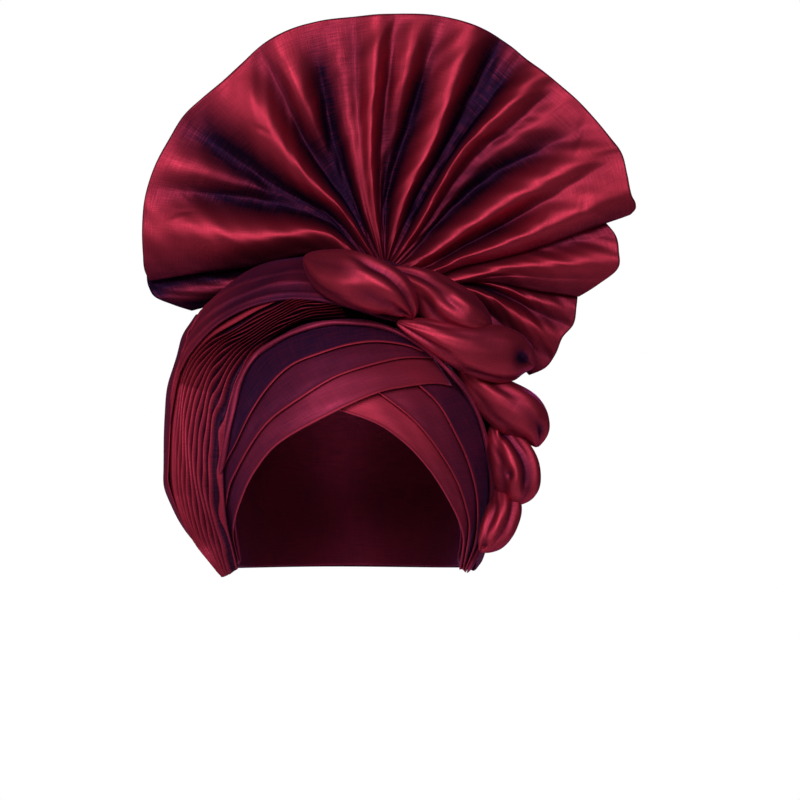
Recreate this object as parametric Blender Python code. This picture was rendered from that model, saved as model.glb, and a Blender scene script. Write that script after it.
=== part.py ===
"""Tied gele head tie, in metres, +Z up.

The origin is on the head's axis at hat-band level. The brow faces -Y and the wearer's left side is +X.
Every cloth piece is a closed wall. Shares in the tables are of the named size that heads their column.
"""
import math
from collections import namedtuple

import bmesh
import bpy
from mathutils import Vector

# Head hollow
HEAD_HALF_BREADTH = 0.077
HEAD_HALF_LENGTH = 0.096
CROWN_RISE = 0.087
NAPE_DROP = 0.060
HEAD_FULLNESS = 2.3
NAPE_TAPER = 0.15

# Cloth walls and the air between layers
CAP_WALL = 0.0016
FOLD_WALL = 0.0012
FOLD_GAP = 0.0005
SEAT_GAP = 0.0003
EAR_FULLNESS = 0.004
EAR_START = 0.3
LEFT_CROSS_START = -0.72
LEFT_CROSS_END = -0.24
SIDE_LIMIT = 0.985
SHARP_ANGLE = 50

# Outer wrap
WRAP_HALF_BREADTH = 0.101
WRAP_SIDE_SHIFT = -0.009
WRAP_SETBACK = 0.006
WRAP_FRONT = 0.090
WRAP_BACK = 0.102
WRAP_RISE = 0.131
WRAP_FULLNESS = 2.6
WRAP_WALL = 0.0016
WRAP_LOW_LEFT = 0.075
WRAP_LOW_BACK = 0.115
SLOT_WIDTH = 0.040
SLOT_END_LEFT = 0.81
SLOT_END_RIGHT = 0.925

# Rolled edge of the brow
ROLL_WIDTH = 0.0045
ROLL_DEPTH = 0.003
ROLL_SIDES = 6
ROLL_LOWERS_FROM = 0.8

# Side pleats
PLEAT_WALL = 0.0013
PLEAT_HEIGHT = 0.0016
PLEAT_BULGE = 0.003
PLEAT_CROWD = 1.5
PLEATS_UNDER_WRAP = 0.0015
NARROW_PLEATS = 10
NARROW_START = 0.02
NARROW_END = 0.80
WIDE_START = 0.835
WIDE_END = 0.985
WIDE_BULGE = 0.0016
WIDE_PROFILE = [0, 0.9, 1, 0.3, -0.5]

# Fan
FAN_RADIUS = 0.150
FAN_ACROSS = 0.0228
FAN_HEIGHT = 0.1248
FAN_WALL = 0.0032
FAN_FOOT_WIDTH = 0.026
FAN_LEAN = 0.05
GATHER_RADIUS = 0.014
PLEAT_DEPTH = 0.014
PLEAT_DEPTH_AT_FOOT = 0.0022
PLEAT_FULL_AT = 0.5
RIM_FLATTENS_FROM = 0.55
RIM_FLATTENS_BY = 0.45
RIM_ROLL = 0.007
RIM_ROLLS_FROM = 0.8
LOBE_START = 0.016
LOBE_DEPTH = 0.006
LOBE_GAP = 0.0024
LOBE_RIM_ROLL = 0.0028

# Twisted rope
TWIST_WIDTH = 0.031
TWIST_GAP = 0.0004
TWIST_SIDES = 10
TWIST_THIN_END = 0.05

# Front-view points of the brow's folded edges: across is a share of HEAD_HALF_BREADTH, up of CROWN_RISE
EdgePoint = namedtuple("EdgePoint", "across up")
LEFT_EDGES = [
    [(-0.83, -0.64), (-0.875, -0.41), (-0.79, -0.17), (-0.48, 0.21), (-0.05, 0.41), (0.25, 0.53),
     (0.68, 0.585), (0.80, 0.575)],
    [(-0.92, -0.57), (-0.95, -0.35), (-0.845, -0.01), (-0.56, 0.355), (-0.13, 0.61), (0.235, 0.725),
     (0.60, 0.765), (0.68, 0.75)],
    [(-0.975, -0.53), (-0.995, -0.25), (-0.845, 0.185), (-0.585, 0.575), (-0.195, 0.79), (0.235, 0.875),
     (0.46, 0.85), (0.60, 0.80)],
    [(-1.01, -0.48), (-1.01, -0.15), (-0.90, 0.22), (-0.70, 0.76), (-0.375, 0.93), (0.02, 0.985),
     (0.42, 0.905), (0.60, 0.835)],
]
RIGHT_EDGES = [
    [(-0.17, 0.46), (0.235, 0.32), (0.455, 0.185), (0.635, 0.005), (0.77, -0.17), (0.86, -0.33),
     (0.89, -0.48), (0.85, -0.67)],
    [(0.10, 0.62), (0.455, 0.39), (0.60, 0.265), (0.74, 0.09), (0.845, -0.07), (0.91, -0.23),
     (0.935, -0.40), (0.875, -0.68)],
    [(0.36, 0.71), (0.56, 0.575), (0.715, 0.435), (0.845, 0.23), (0.92, 0.08), (0.97, -0.115),
     (0.975, -0.30), (0.90, -0.69)],
    [(0.60, 0.82), (0.79, 0.665), (0.92, 0.52), (1.02, 0.31), (1.07, 0.08), (1.09, -0.15),
     (1.03, -0.47), (0.915, -0.70)],
]
ROLL_LINE = [(-0.93, 0.08), (-0.89, 0.32), (-0.71, 0.78), (-0.38, 0.95), (0.02, 1.005),
             (0.46, 0.915), (0.795, 0.68), (0.935, 0.52), (1.045, 0.31), (1.10, 0.08), (1.12, -0.15),
             (1.06, -0.47), (0.925, -0.69)]
EDGE_OVERLAP = 0.32

# Lower edge of the under-wrap: turn in degrees round the head from the brow, up as a share of CROWN_RISE
CAP_EDGE = [(-180, -0.68), (-120, -0.68), (-80, -0.66), (-66, -0.62), (-64, -0.42), (-60, -0.28),
            (-52, -0.12), (-42, 0.06), (-28, 0.25), (-3, 0.44), (14, 0.35), (27, 0.21), (39, 0.04),
            (50, -0.14), (61, -0.31), (69, -0.44), (75, -0.62), (90, -0.66), (120, -0.68), (180, -0.68)]

# Lower edges of the outer wrap by turn, heights as shares of WRAP_RISE
FRONT_EDGE = [(-80, 0.14), (-75, 0.18), (-73, 0.37), (-69, 0.48), (-63, 0.56), (-54, 0.65),
              (-43, 0.718), (-32, 0.77), (-21, 0.80), (-6, 0.765), (7, 0.735), (22, 0.69), (38, 0.64),
              (51, 0.56), (61, 0.44), (68, 0.30), (74, 0.16), (80, 0.12)]
BACK_EDGE = [(-286, -0.39), (-277, -0.44), (-245, -0.455), (-180, -0.46), (-112, -0.455), (-90, -0.44),
             (-75, -0.425)]
FRONT_TURNS = (-74.7, 73.7)
BACK_TURNS = (-286, -75)

# Rungs of the side pleats, top to bottom: the inner point in shares of HEAD_HALF_BREADTH and CROWN_RISE,
# the outer point in shares of WRAP_HALF_BREADTH and WRAP_RISE
PleatRung = namedtuple("PleatRung", "in_across in_up out_across out_up")
SIDE_PLEATS = [
    (0.00, 1.06, -0.17, 0.832), (-0.20, 1.045, -0.34, 0.815), (-0.39, 1.01, -0.50, 0.775),
    (-0.57, 0.92, -0.65, 0.72), (-0.72, 0.80, -0.79, 0.65), (-0.84, 0.64, -0.905, 0.565),
    (-0.92, 0.46, -0.975, 0.47), (-0.965, 0.23, -1.03, 0.31), (-0.975, -0.02, -1.055, 0.12),
    (-0.965, -0.20, -1.045, -0.04), (-0.94, -0.38, -0.985, -0.19), (-0.90, -0.53, -0.865, -0.33),
    (-0.855, -0.68, -0.68, -0.435),
]

# Fan pleats, degrees from +X: ridge and the valley that follows it, heights as shares of the pleat depth
FanPleat = namedtuple("FanPleat", "ridge height valley depth")
FAN_PLEATS = [
    (178, 0.45, 169, 0.45), (159, 0.75, 145, 0.85), (133, 1.0, 124, 0.7), (116, 0.85, 108, 1.0),
    (102.5, 0.4, 99, 0.5), (94.5, 0.9, 89, 0.7), (84, 0.9, 78, 0.75), (70, 1.0, 62, 1.1),
    (54, 1.0, 49, 0.45), (44, 0.45, 38, 0.75), (31, 1.0, 22.5, 0.75), (16, 0.85, 10, -0.5),
]
FAN_START, FAN_END = 184, 10
LOBE_LEFT_PLEATS = [(189, 0.9, 180, 0.6)]
LOBE_LEFT_START, LOBE_LEFT_END = 193, 176
LOBE_UPPER_PLEATS = [(13, -0.5, 7, 0.5), (0, 1.0, -10, -0.3)]
LOBE_UPPER_START, LOBE_UPPER_END = 13, -10.5
LOBE_LOWER_PLEATS = [(-6, -0.5, -13, 0.5), (-24, 1.0, -36, 0.5)]
LOBE_LOWER_START, LOBE_LOWER_END = -6, -38

# Reach of the rim by angle, as a share of FAN_RADIUS
FAN_REACH = [(184, 0.93), (178, 0.965), (170, 0.99), (160, 1.004), (150, 1.0), (144, 1.004), (132, 0.98),
             (122, 0.995), (112, 1.012), (97, 0.996), (85, 1.004), (72, 1.02), (60, 1.008), (52, 0.996),
             (40, 1.012), (25, 1.045), (15, 1.03), (12.5, 1.03), (10, 0.97)]
LEFT_REACH = [(193, 0.82), (190, 0.89), (187, 0.94), (182, 0.95), (176, 0.94)]
UPPER_REACH = [(14, 0.86), (10, 0.90), (6.5, 0.93), (2.5, 0.94), (-1.5, 0.935), (-6, 0.865),
               (-10.5, 0.79)]
LOWER_REACH = [(-6, 0.76), (-13, 0.79), (-18, 0.80), (-23, 0.78), (-28, 0.78), (-33, 0.77),
               (-38, 0.73)]

# Rows of the fan's cloth, as shares of the way from the gather to the rim
FAN_ROWS = [0.0, 0.1, 0.24, 0.42, 0.62, 0.8, 0.92, 0.98, 1.0]

# Where the foot of each piece of the fan starts and ends, as shares of half of FAN_FOOT_WIDTH from FAN_ACROSS
FootSpan = namedtuple("FootSpan", "start end")
FAN_FOOT = FootSpan(-1.0, 1.0)
LOBE_LEFT_FOOT = FootSpan(-1.0, -0.08)
LOBE_UPPER_FOOT = FootSpan(0.08, 1.0)
LOBE_LOWER_FOOT = FootSpan(0.0, 0.7)

# Lobes of the rope, each along its own length: across is a share of FAN_RADIUS, up of WRAP_RISE, out towards
# the brow of WRAP_FRONT, and width and depth are half sizes in shares of TWIST_WIDTH
TwistSection = namedtuple("TwistSection", "across up width depth out")
TWIST_LOBES = [
    [(-0.167, 0.97, 0.13, 0.13, 0.55), (-0.073, 0.908, 0.42, 0.32, 0.73), (0.013, 0.87, 0.5, 0.4, 0.84),
     (0.127, 0.824, 0.5, 0.42, 0.87), (0.193, 0.786, 0.42, 0.4, 0.86), (0.247, 0.725, 0.26, 0.26, 0.84),
     (0.262, 0.685, 0.1, 0.1, 0.82)],
    [(0.15, 0.9, 0.15, 0.15, 0.59), (0.3, 0.825, 0.36, 0.32, 0.65), (0.387, 0.75, 0.46, 0.4, 0.72),
     (0.467, 0.7, 0.42, 0.38, 0.73), (0.535, 0.665, 0.27, 0.27, 0.69), (0.575, 0.64, 0.1, 0.1, 0.65)],
    [(0.2, 0.672, 0.1, 0.12, 0.79), (0.3, 0.633, 0.24, 0.22, 0.79), (0.4, 0.588, 0.36, 0.32, 0.77),
     (0.5, 0.55, 0.48, 0.4, 0.71), (0.613, 0.527, 0.53, 0.42, 0.61), (0.7, 0.5, 0.42, 0.36, 0.53),
     (0.745, 0.475, 0.15, 0.15, 0.49)],
    [(0.46, 0.495, 0.13, 0.14, 0.55), (0.56, 0.366, 0.33, 0.3, 0.49), (0.64, 0.305, 0.46, 0.4, 0.455),
     (0.713, 0.252, 0.49, 0.42, 0.425), (0.76, 0.183, 0.38, 0.34, 0.405),
     (0.773, 0.107, 0.14, 0.15, 0.395)],
    [(0.6, 0.214, 0.13, 0.14, 0.385), (0.64, 0.13, 0.32, 0.28, 0.395), (0.682, 0.046, 0.42, 0.38, 0.395),
     (0.7, -0.023, 0.45, 0.4, 0.395), (0.695, -0.092, 0.38, 0.34, 0.395),
     (0.675, -0.16, 0.15, 0.16, 0.395)],
    [(0.635, -0.06, 0.13, 0.14, 0.365), (0.652, -0.15, 0.28, 0.26, 0.395),
     (0.632, -0.23, 0.31, 0.28, 0.425), (0.597, -0.3, 0.26, 0.25, 0.445),
     (0.54, -0.367, 0.1, 0.1, 0.475)],
]
TWIST_OVER = {1: (0, 2), 2: (0,), 3: (2,), 4: (3,), 5: (4,)}

# Finishes: colour, roughness and metallic share of each cloth
FINISHES = {
    "taffeta_fan": ((0.30, 0.035, 0.075), 0.34, 0.55),
    "taffeta_twist": ((0.34, 0.04, 0.085), 0.32, 0.55),
    "taffeta_brow": ((0.16, 0.03, 0.075), 0.38, 0.50),
    "taffeta_pleats": ((0.20, 0.03, 0.06), 0.40, 0.45),
    "taffeta_wrap": ((0.10, 0.025, 0.06), 0.42, 0.45),
}


def clear_scene():
    for thing in list(bpy.data.objects):
        bpy.data.objects.remove(thing, do_unlink=True)


def finish(name):
    found = bpy.data.materials.get(name)
    if found:
        return found
    colour, roughness, metallic = FINISHES[name]
    made = bpy.data.materials.new(name)
    made.use_nodes = True
    shader = made.node_tree.nodes["Principled BSDF"]
    shader.inputs["Base Color"].default_value = (*colour, 1.0)
    shader.inputs["Roughness"].default_value = roughness
    shader.inputs["Metallic"].default_value = metallic
    return made


def ease(value, start, end):
    """0 before start, 1 past end, and smooth between."""
    share = min(max((value - start) / (end - start), 0.0), 1.0)
    return share * share * (3 - 2 * share)


def blend(low, high, share):
    return low + (high - low) * share


def smooth_line(points, count):
    """count points, evenly spread along a smooth curve through the given ones."""
    points = [Vector(p) for p in points]
    ends = [points[0] * 2 - points[1]] + points + [points[-1] * 2 - points[-2]]
    steps = 12
    dense = []
    for a, b, c, d in zip(ends, ends[1:], ends[2:], ends[3:]):
        for k in range(steps):
            t = k / steps
            dense.append(0.5 * (b * 2 + (c - a) * t + (a * 2 - b * 5 + c * 4 - d) * t**2
                                + (b * 3 - a - c * 3 + d) * t**3))
    dense.append(points[-1])
    run = [0.0]
    for p, q in zip(dense, dense[1:]):
        run.append(run[-1] + (q - p).length)
    line, at = [], 0
    for k in range(count):
        goal = run[-1] * k / (count - 1)
        while at < len(run) - 2 and run[at + 1] < goal:
            at += 1
        span = run[at + 1] - run[at]
        line.append(dense[at].lerp(dense[at + 1], (goal - run[at]) / span if span else 0.0))
    return line


def table_value(table, key):
    """Straight-line reading of a two-column table whose first column falls or rises all the way."""
    rows = table if table[0][0] < table[-1][0] else table[::-1]
    if key <= rows[0][0]:
        return rows[0][1]
    for (k0, v0), (k1, v1) in zip(rows, rows[1:]):
        if key <= k1:
            return blend(v0, v1, (key - k0) / (k1 - k0))
    return rows[-1][1]


def head_share(z, out):
    """How much of the head's breadth is left at height z, on the surface that lies out from the head."""
    if z > 0:
        return (1 - min(z / (CROWN_RISE + out), 0.999) ** HEAD_FULLNESS) ** (1 / HEAD_FULLNESS)
    return 1 - NAPE_TAPER * (z / NAPE_DROP) ** 2


def on_head(x, z, out):
    """The front point of the head's surface, out from it, that is seen at x and z."""
    share = head_share(z, out)
    side = x / ((HEAD_HALF_BREADTH + out) * share)
    side = min(max(side, -SIDE_LIMIT), SIDE_LIMIT)
    return Vector((side * (HEAD_HALF_BREADTH + out) * share,
                   -(HEAD_HALF_LENGTH + out) * share * math.sqrt(1 - side * side), z))


def cap_point(turn, lift, out):
    """turn in degrees from the brow; lift -1 at the nape, 0 at hat-band level, 1 at the crown."""
    if lift >= 0:
        climb = lift * math.pi / 2
        share = max(math.cos(climb), 0.0) ** (2 / HEAD_FULLNESS)
        z = (CROWN_RISE + out) * math.sin(climb) ** (2 / HEAD_FULLNESS)
    else:
        share = 1 - NAPE_TAPER * lift * lift
        z = lift * NAPE_DROP
    angle = math.radians(turn)
    return Vector(((HEAD_HALF_BREADTH + out) * share * math.sin(angle),
                   -(HEAD_HALF_LENGTH + out) * share * math.cos(angle), z))


def cap_top(x, y, out):
    """Height of the under-wrap over x, y."""
    spread = math.hypot(x / (HEAD_HALF_BREADTH + out), y / (HEAD_HALF_LENGTH + out))
    return (CROWN_RISE + out) * (1 - spread ** HEAD_FULLNESS) ** (1 / HEAD_FULLNESS)


def wrap_low(side):
    """Depth at which the outer wrap would close below, which is less at the pleated side."""
    return blend(WRAP_LOW_BACK, WRAP_LOW_LEFT, max(0.0, -side) ** 2)


def wrap_point(turn, climb, out):
    """A point of the outer wrap: climb is 0 at hat-band level, 90 at its top and negative below."""
    angle, rise = math.radians(turn), math.radians(climb)
    side = math.sin(angle)
    if climb >= 0:
        across = along = max(math.cos(rise), 0.0) ** (2 / WRAP_FULLNESS)
        z = (WRAP_RISE + out) * math.sin(rise) ** (2 / WRAP_FULLNESS)
    else:
        z = WRAP_RISE * math.sin(rise)
        across = math.sqrt(max(1 - (z / wrap_low(side)) ** 2, 0.0))
        along = math.sqrt(1 - (z / WRAP_LOW_BACK) ** 2)
    reach = (WRAP_FRONT if math.cos(angle) > 0 else WRAP_BACK) + out
    return Vector((WRAP_SIDE_SHIFT + (WRAP_HALF_BREADTH + out) * across * side,
                   WRAP_SETBACK - reach * along * math.cos(angle), z))


def wrap_climb(up):
    """The climb of the outer wrap at a height, as a share of WRAP_RISE."""
    if up >= 0:
        return math.degrees(math.asin(up ** (WRAP_FULLNESS / 2)))
    return -math.degrees(math.asin(-up))


def on_wrap(x, z, out):
    """The front point of the outer wrap that is seen at x and z."""
    if z > 0:
        across = along = (1 - (z / (WRAP_RISE + out)) ** WRAP_FULLNESS) ** (1 / WRAP_FULLNESS)
    else:
        across = math.sqrt(1 - (z / (WRAP_LOW_LEFT if x < 0 else WRAP_LOW_BACK)) ** 2)
        along = math.sqrt(1 - (z / WRAP_LOW_BACK) ** 2)
    side = (x - WRAP_SIDE_SHIFT) / ((WRAP_HALF_BREADTH + out) * across)
    side = min(max(side, -SIDE_LIMIT), SIDE_LIMIT)
    return Vector((WRAP_SIDE_SHIFT + side * (WRAP_HALF_BREADTH + out) * across,
                   WRAP_SETBACK - (WRAP_FRONT + out) * along * math.sqrt(1 - side * side), z))


def slot_climb(turn):
    """The climb at which a column of the outer wrap meets the slot."""
    facing = math.cos(math.radians(turn))
    reach = WRAP_FRONT if facing > 0 else WRAP_BACK
    end = blend(SLOT_END_LEFT, SLOT_END_RIGHT, (math.sin(math.radians(turn)) + 1) / 2)
    share = min(end, SLOT_WIDTH / 2 / (reach * max(abs(facing), 1e-6)))
    return math.degrees(math.acos(share ** (WRAP_FULLNESS / 2)))


def link_solid(name, cloth, vertices, faces):
    """One closed object with its faces pointing out."""
    mesh = bpy.data.meshes.new(name)
    body = bmesh.new()
    points = [body.verts.new(v) for v in vertices]
    for face in faces:
        body.faces.new([points[i] for i in face])
    bmesh.ops.recalc_face_normals(body, faces=body.faces[:])
    if body.calc_volume(signed=True) < 0:
        bmesh.ops.reverse_faces(body, faces=body.faces[:])
    body.to_mesh(mesh)
    body.free()
    mesh.materials.append(finish(cloth))
    mesh.shade_smooth()
    mesh.set_sharp_from_angle(angle=math.radians(SHARP_ANGLE))
    solid = bpy.data.objects.new(name, mesh)
    bpy.context.scene.collection.objects.link(solid)
    return solid


def wall_solid(name, cloth, outer, inner, ring=False, outer_pole=None, inner_pole=None):
    """A closed wall between two grids, outer[row][column] and inner[row][column].

    ring joins the last column to the first; the poles close the last row.
    """
    rows, columns = len(outer), len(outer[0])
    vertices = [p for row in outer for p in row] + [p for row in inner for p in row]
    skin = rows * columns

    def at(row, column, side):
        return side * skin + row * columns + column % columns

    faces = []
    spans = columns if ring else columns - 1
    for row in range(rows - 1):
        for column in range(spans):
            for side in (0, 1):
                faces.append((at(row, column, side), at(row, column + 1, side),
                              at(row + 1, column + 1, side), at(row + 1, column, side)))
    open_rows = (0,) if outer_pole else (0, rows - 1)
    for row in open_rows:
        for column in range(spans):
            faces.append((at(row, column, 0), at(row, column + 1, 0),
                          at(row, column + 1, 1), at(row, column, 1)))
    if not ring:
        for column in (0, columns - 1):
            for row in range(rows - 1):
                faces.append((at(row, column, 0), at(row + 1, column, 0), at(row + 1, column, 1),
                              at(row, column, 1)))
    for side, pole in enumerate((outer_pole, inner_pole)):
        if pole:
            vertices.append(pole)
            for column in range(spans):
                faces.append((at(rows - 1, column, side), at(rows - 1, column + 1, side),
                              len(vertices) - 1))
    return link_solid(name, cloth, vertices, faces)


def tube_solid(name, cloth, rings):
    """A closed tube through rings of points, with a point at each end."""
    sides = len(rings[0])
    vertices = [p for ring in rings for p in ring]
    faces = []
    for row in range(len(rings) - 1):
        for k in range(sides):
            here, beside = row * sides + k, row * sides + (k + 1) % sides
            faces.append((here, beside, beside + sides, here + sides))
    for row in (0, len(rings) - 1):
        middle = sum(rings[row], Vector()) / sides
        vertices.append(middle)
        for k in range(sides):
            faces.append((row * sides + k, row * sides + (k + 1) % sides, len(vertices) - 1))
    return link_solid(name, cloth, vertices, faces)


def make_cap_wrap():
    columns, rows = 36, 7
    last_lift = 0.93
    crowding = 0.65
    outer, inner = [], []
    for row in range(rows):
        outer_row, inner_row = [], []
        for column in range(columns):
            turn = -180 + 360 * column / columns
            up = table_value(CAP_EDGE, turn) * CROWN_RISE
            if up >= 0:
                edge = math.asin((up / CROWN_RISE) ** (HEAD_FULLNESS / 2)) * 2 / math.pi
            else:
                edge = max(up / NAPE_DROP, -1.0)
            lift = blend(edge, last_lift, (row / (rows - 1)) ** crowding)
            outer_row.append(cap_point(turn, lift, CAP_WALL))
            inner_row.append(cap_point(turn, lift, 0.0))
        outer.append(outer_row)
        inner.append(inner_row)
    wall_solid("cap_wrap", "taffeta_wrap", outer, inner, ring=True,
               outer_pole=cap_point(0, 1.0, CAP_WALL), inner_pole=cap_point(0, 1.0, 0.0))


def fold_out(order, x):
    """How far the inside of a layer lies out from the head; the layers are fuller over the ear."""
    return (CAP_WALL + FOLD_GAP + order * (FOLD_WALL + FOLD_GAP)
            + EAR_FULLNESS * ease(x / HEAD_HALF_BREADTH, EAR_START, 1.0))


def left_order(order, x):
    """The left layers cross over the three right ones, and lie on the head at the pleated side."""
    crossed = len(RIGHT_EDGES) - 1
    return order + crossed * ease(x / HEAD_HALF_BREADTH, LEFT_CROSS_START, LEFT_CROSS_END)


def roll_order(x):
    """The roll lies on all the layers, and comes down to the right ones over the ear."""
    lifted = left_order(len(LEFT_EDGES) - 1, x)
    return blend(lifted, len(RIGHT_EDGES) - 1, ease(x / HEAD_HALF_BREADTH, ROLL_LOWERS_FROM, 1.0))


def edge_line(edge, count):
    """A folded edge as count points of the front view, across and up in metres."""
    points = [EdgePoint(*point) for point in edge]
    return smooth_line([(p.across * HEAD_HALF_BREADTH, p.up * CROWN_RISE, 0) for p in points], count)


def make_brow_folds():
    stations, rows = 17, 4
    for side, edges in (("left", LEFT_EDGES), ("right", RIGHT_EDGES)):
        for number in range(len(edges) - 1):
            low = edge_line(edges[number], stations)
            high = edge_line(edges[number + 1], stations)
            last = number == len(edges) - 2
            reach = 1.0 if last else 1.0 + EDGE_OVERLAP
            outer, inner = [], []
            for row in range(rows):
                outer_row, inner_row = [], []
                for a, b in zip(low, high):
                    x, z, _ = a.lerp(b, reach * row / (rows - 1))
                    order = left_order(number, x) if side == "left" else number
                    outer_row.append(on_head(x, z, fold_out(order, x) + FOLD_WALL))
                    inner_row.append(on_head(x, z, fold_out(order, x)))
                outer.append(outer_row)
                inner.append(inner_row)
            wall_solid(f"brow_fold_{side}_{number + 1}", "taffeta_brow", outer, inner)


def make_brow_roll():
    stations = 34
    line = edge_line(ROLL_LINE, stations)
    centre = [on_head(p.x, p.y, fold_out(roll_order(p.x), p.x) + ROLL_DEPTH / 2) for p in line]
    rings = []
    for k, middle in enumerate(centre):
        along = (centre[min(k + 1, stations - 1)] - centre[max(k - 1, 0)]).normalized()
        away = Vector((middle.x / HEAD_HALF_BREADTH**2, middle.y / HEAD_HALF_LENGTH**2,
                       max(middle.z, 0.0) / CROWN_RISE**2)).normalized()
        across = along.cross(away).normalized()
        away = across.cross(along).normalized()
        ring = []
        for side in range(ROLL_SIDES):
            angle = 2 * math.pi * side / ROLL_SIDES
            ring.append(middle + across * (ROLL_WIDTH / 2 * math.cos(angle))
                        + away * (ROLL_DEPTH / 2 * math.sin(angle)))
        rings.append(ring)
    tube_solid("brow_roll", "taffeta_brow", rings)


def make_outer_wrap():
    for name, turns, edge, columns, rows in (
            ("wrap_front", FRONT_TURNS, FRONT_EDGE, 24, 5),
            ("wrap_back", BACK_TURNS, BACK_EDGE, 27, 10)):
        outer, inner = [], []
        for row in range(rows):
            outer_row, inner_row = [], []
            for column in range(columns):
                turn = blend(*turns, column / (columns - 1))
                climb = blend(wrap_climb(table_value(edge, turn)), slot_climb(turn), row / (rows - 1))
                outer_row.append(wrap_point(turn, climb, 0.0))
                inner_row.append(wrap_point(turn, climb, -WRAP_WALL))
            outer.append(outer_row)
            inner.append(inner_row)
        wall_solid(name, "taffeta_wrap", outer, inner)


def pleat_rungs(count):
    """Inner and outer end of each rung of the side pleats, in space."""
    rows = [PleatRung(*row) for row in SIDE_PLEATS]
    inner = smooth_line([(r.in_across * HEAD_HALF_BREADTH, r.in_up * CROWN_RISE, 0) for r in rows], count)
    outer = smooth_line([(r.out_across * WRAP_HALF_BREADTH, r.out_up * WRAP_RISE, 0) for r in rows], count)
    under = WRAP_WALL + PLEATS_UNDER_WRAP + PLEAT_WALL
    return [(on_head(a.x, a.y, fold_out(roll_order(a.x), a.x) + ROLL_DEPTH / 2),
             on_wrap(b.x, b.y, -under)) for a, b in zip(inner, outer)]


def pleat_sheet(name, heights, start, end, bulge):
    """A band of the side pleats from start to end of each rung, raised by heights in turn.

    The pleats are lower where short rungs crowd them.
    """
    rungs = pleat_rungs(17)
    outer, inner = [], []
    for k, (low, high) in enumerate(rungs):
        before, after = rungs[max(k - 1, 0)], rungs[min(k + 1, len(rungs) - 1)]
        along = (after[0] + after[1]) - (before[0] + before[1])
        away = (high - low).cross(along).normalized()
        if away.y > 0:
            away.negate()
        room = min((high - low).length / (PLEAT_CROWD * PLEAT_HEIGHT * NARROW_PLEATS), 1.0)
        outer_row, inner_row = [], []
        for column, height in enumerate(heights):
            share = blend(start, end, column / (len(heights) - 1))
            lift = PLEAT_BULGE * math.sin(math.pi * share) + height * bulge * room
            point = low.lerp(high, share) + away * lift
            outer_row.append(point)
            inner_row.append(point - away * PLEAT_WALL)
        outer.append(outer_row)
        inner.append(inner_row)
    wall_solid(name, "taffeta_pleats", outer, inner)


def make_side_pleats():
    narrow = [k % 2 for k in range(2 * NARROW_PLEATS + 1)]
    pleat_sheet("side_pleats", narrow, NARROW_START, NARROW_END, PLEAT_HEIGHT)
    pleat_sheet("side_pleat_wide", WIDE_PROFILE, WIDE_START, WIDE_END, WIDE_BULGE)


def pleat_profile(pleats, angle):
    """1 on a full ridge and -1 in a full valley, with round ridges and narrow valleys."""
    stops = []
    for row in pleats:
        pleat = FanPleat(*row)
        stops.append((pleat.ridge, pleat.height, True))
        stops.append((pleat.valley, -pleat.depth, False))
    if angle >= stops[0][0]:
        return stops[0][1]
    for (a0, h0, from_ridge), (a1, h1, _) in zip(stops, stops[1:]):
        if angle >= a1:
            share = (a0 - angle) / (a0 - a1)
            bend = 1 - math.cos(share * math.pi / 2) if from_ridge else math.sin(share * math.pi / 2)
            return blend(h0, h1, bend)
    return stops[-1][1]


def fan_sheet(name, pleats, start, end, reach, foot, first_radius, setback, columns, depth, rim_roll):
    """A pleated wall round the gather, from one angle to the other, with a foot that stands on the head."""
    outer, inner = [], []

    def add_row(points):
        outer.append([p - Vector((0, FAN_WALL / 2, 0)) for p in points])
        inner.append([p + Vector((0, FAN_WALL / 2, 0)) for p in points])

    seat, waist = [], []
    for k in range(columns):
        x = FAN_ACROSS + FAN_FOOT_WIDTH / 2 * blend(foot.start, foot.end, k / (columns - 1))
        seat.append(Vector((x, setback, cap_top(x, setback - FAN_WALL / 2, CAP_WALL) + SEAT_GAP)))
        waist.append(Vector((x, setback, FAN_HEIGHT - GATHER_RADIUS)))
    add_row(seat)
    add_row(waist)
    for share in FAN_ROWS:
        points = []
        for k in range(columns):
            angle = blend(start, end, k / (columns - 1))
            radius = blend(first_radius, FAN_RADIUS * table_value(reach, angle), share)
            rise = ease(radius, first_radius / 2, PLEAT_FULL_AT * FAN_RADIUS)
            rise *= 1 - RIM_FLATTENS_BY * ease(share, RIM_FLATTENS_FROM, 1.0)
            deep = blend(PLEAT_DEPTH_AT_FOOT, depth, rise)
            turn = math.radians(angle)
            up = radius * math.sin(turn)
            y = setback - deep * pleat_profile(pleats, angle) + FAN_LEAN * max(up, 0.0)
            y += rim_roll * ease(share, RIM_ROLLS_FROM, 1.0)
            points.append(Vector((FAN_ACROSS + radius * math.cos(turn), y, FAN_HEIGHT + up)))
        add_row(points)
    wall_solid(name, "taffeta_fan", outer, inner)


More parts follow.
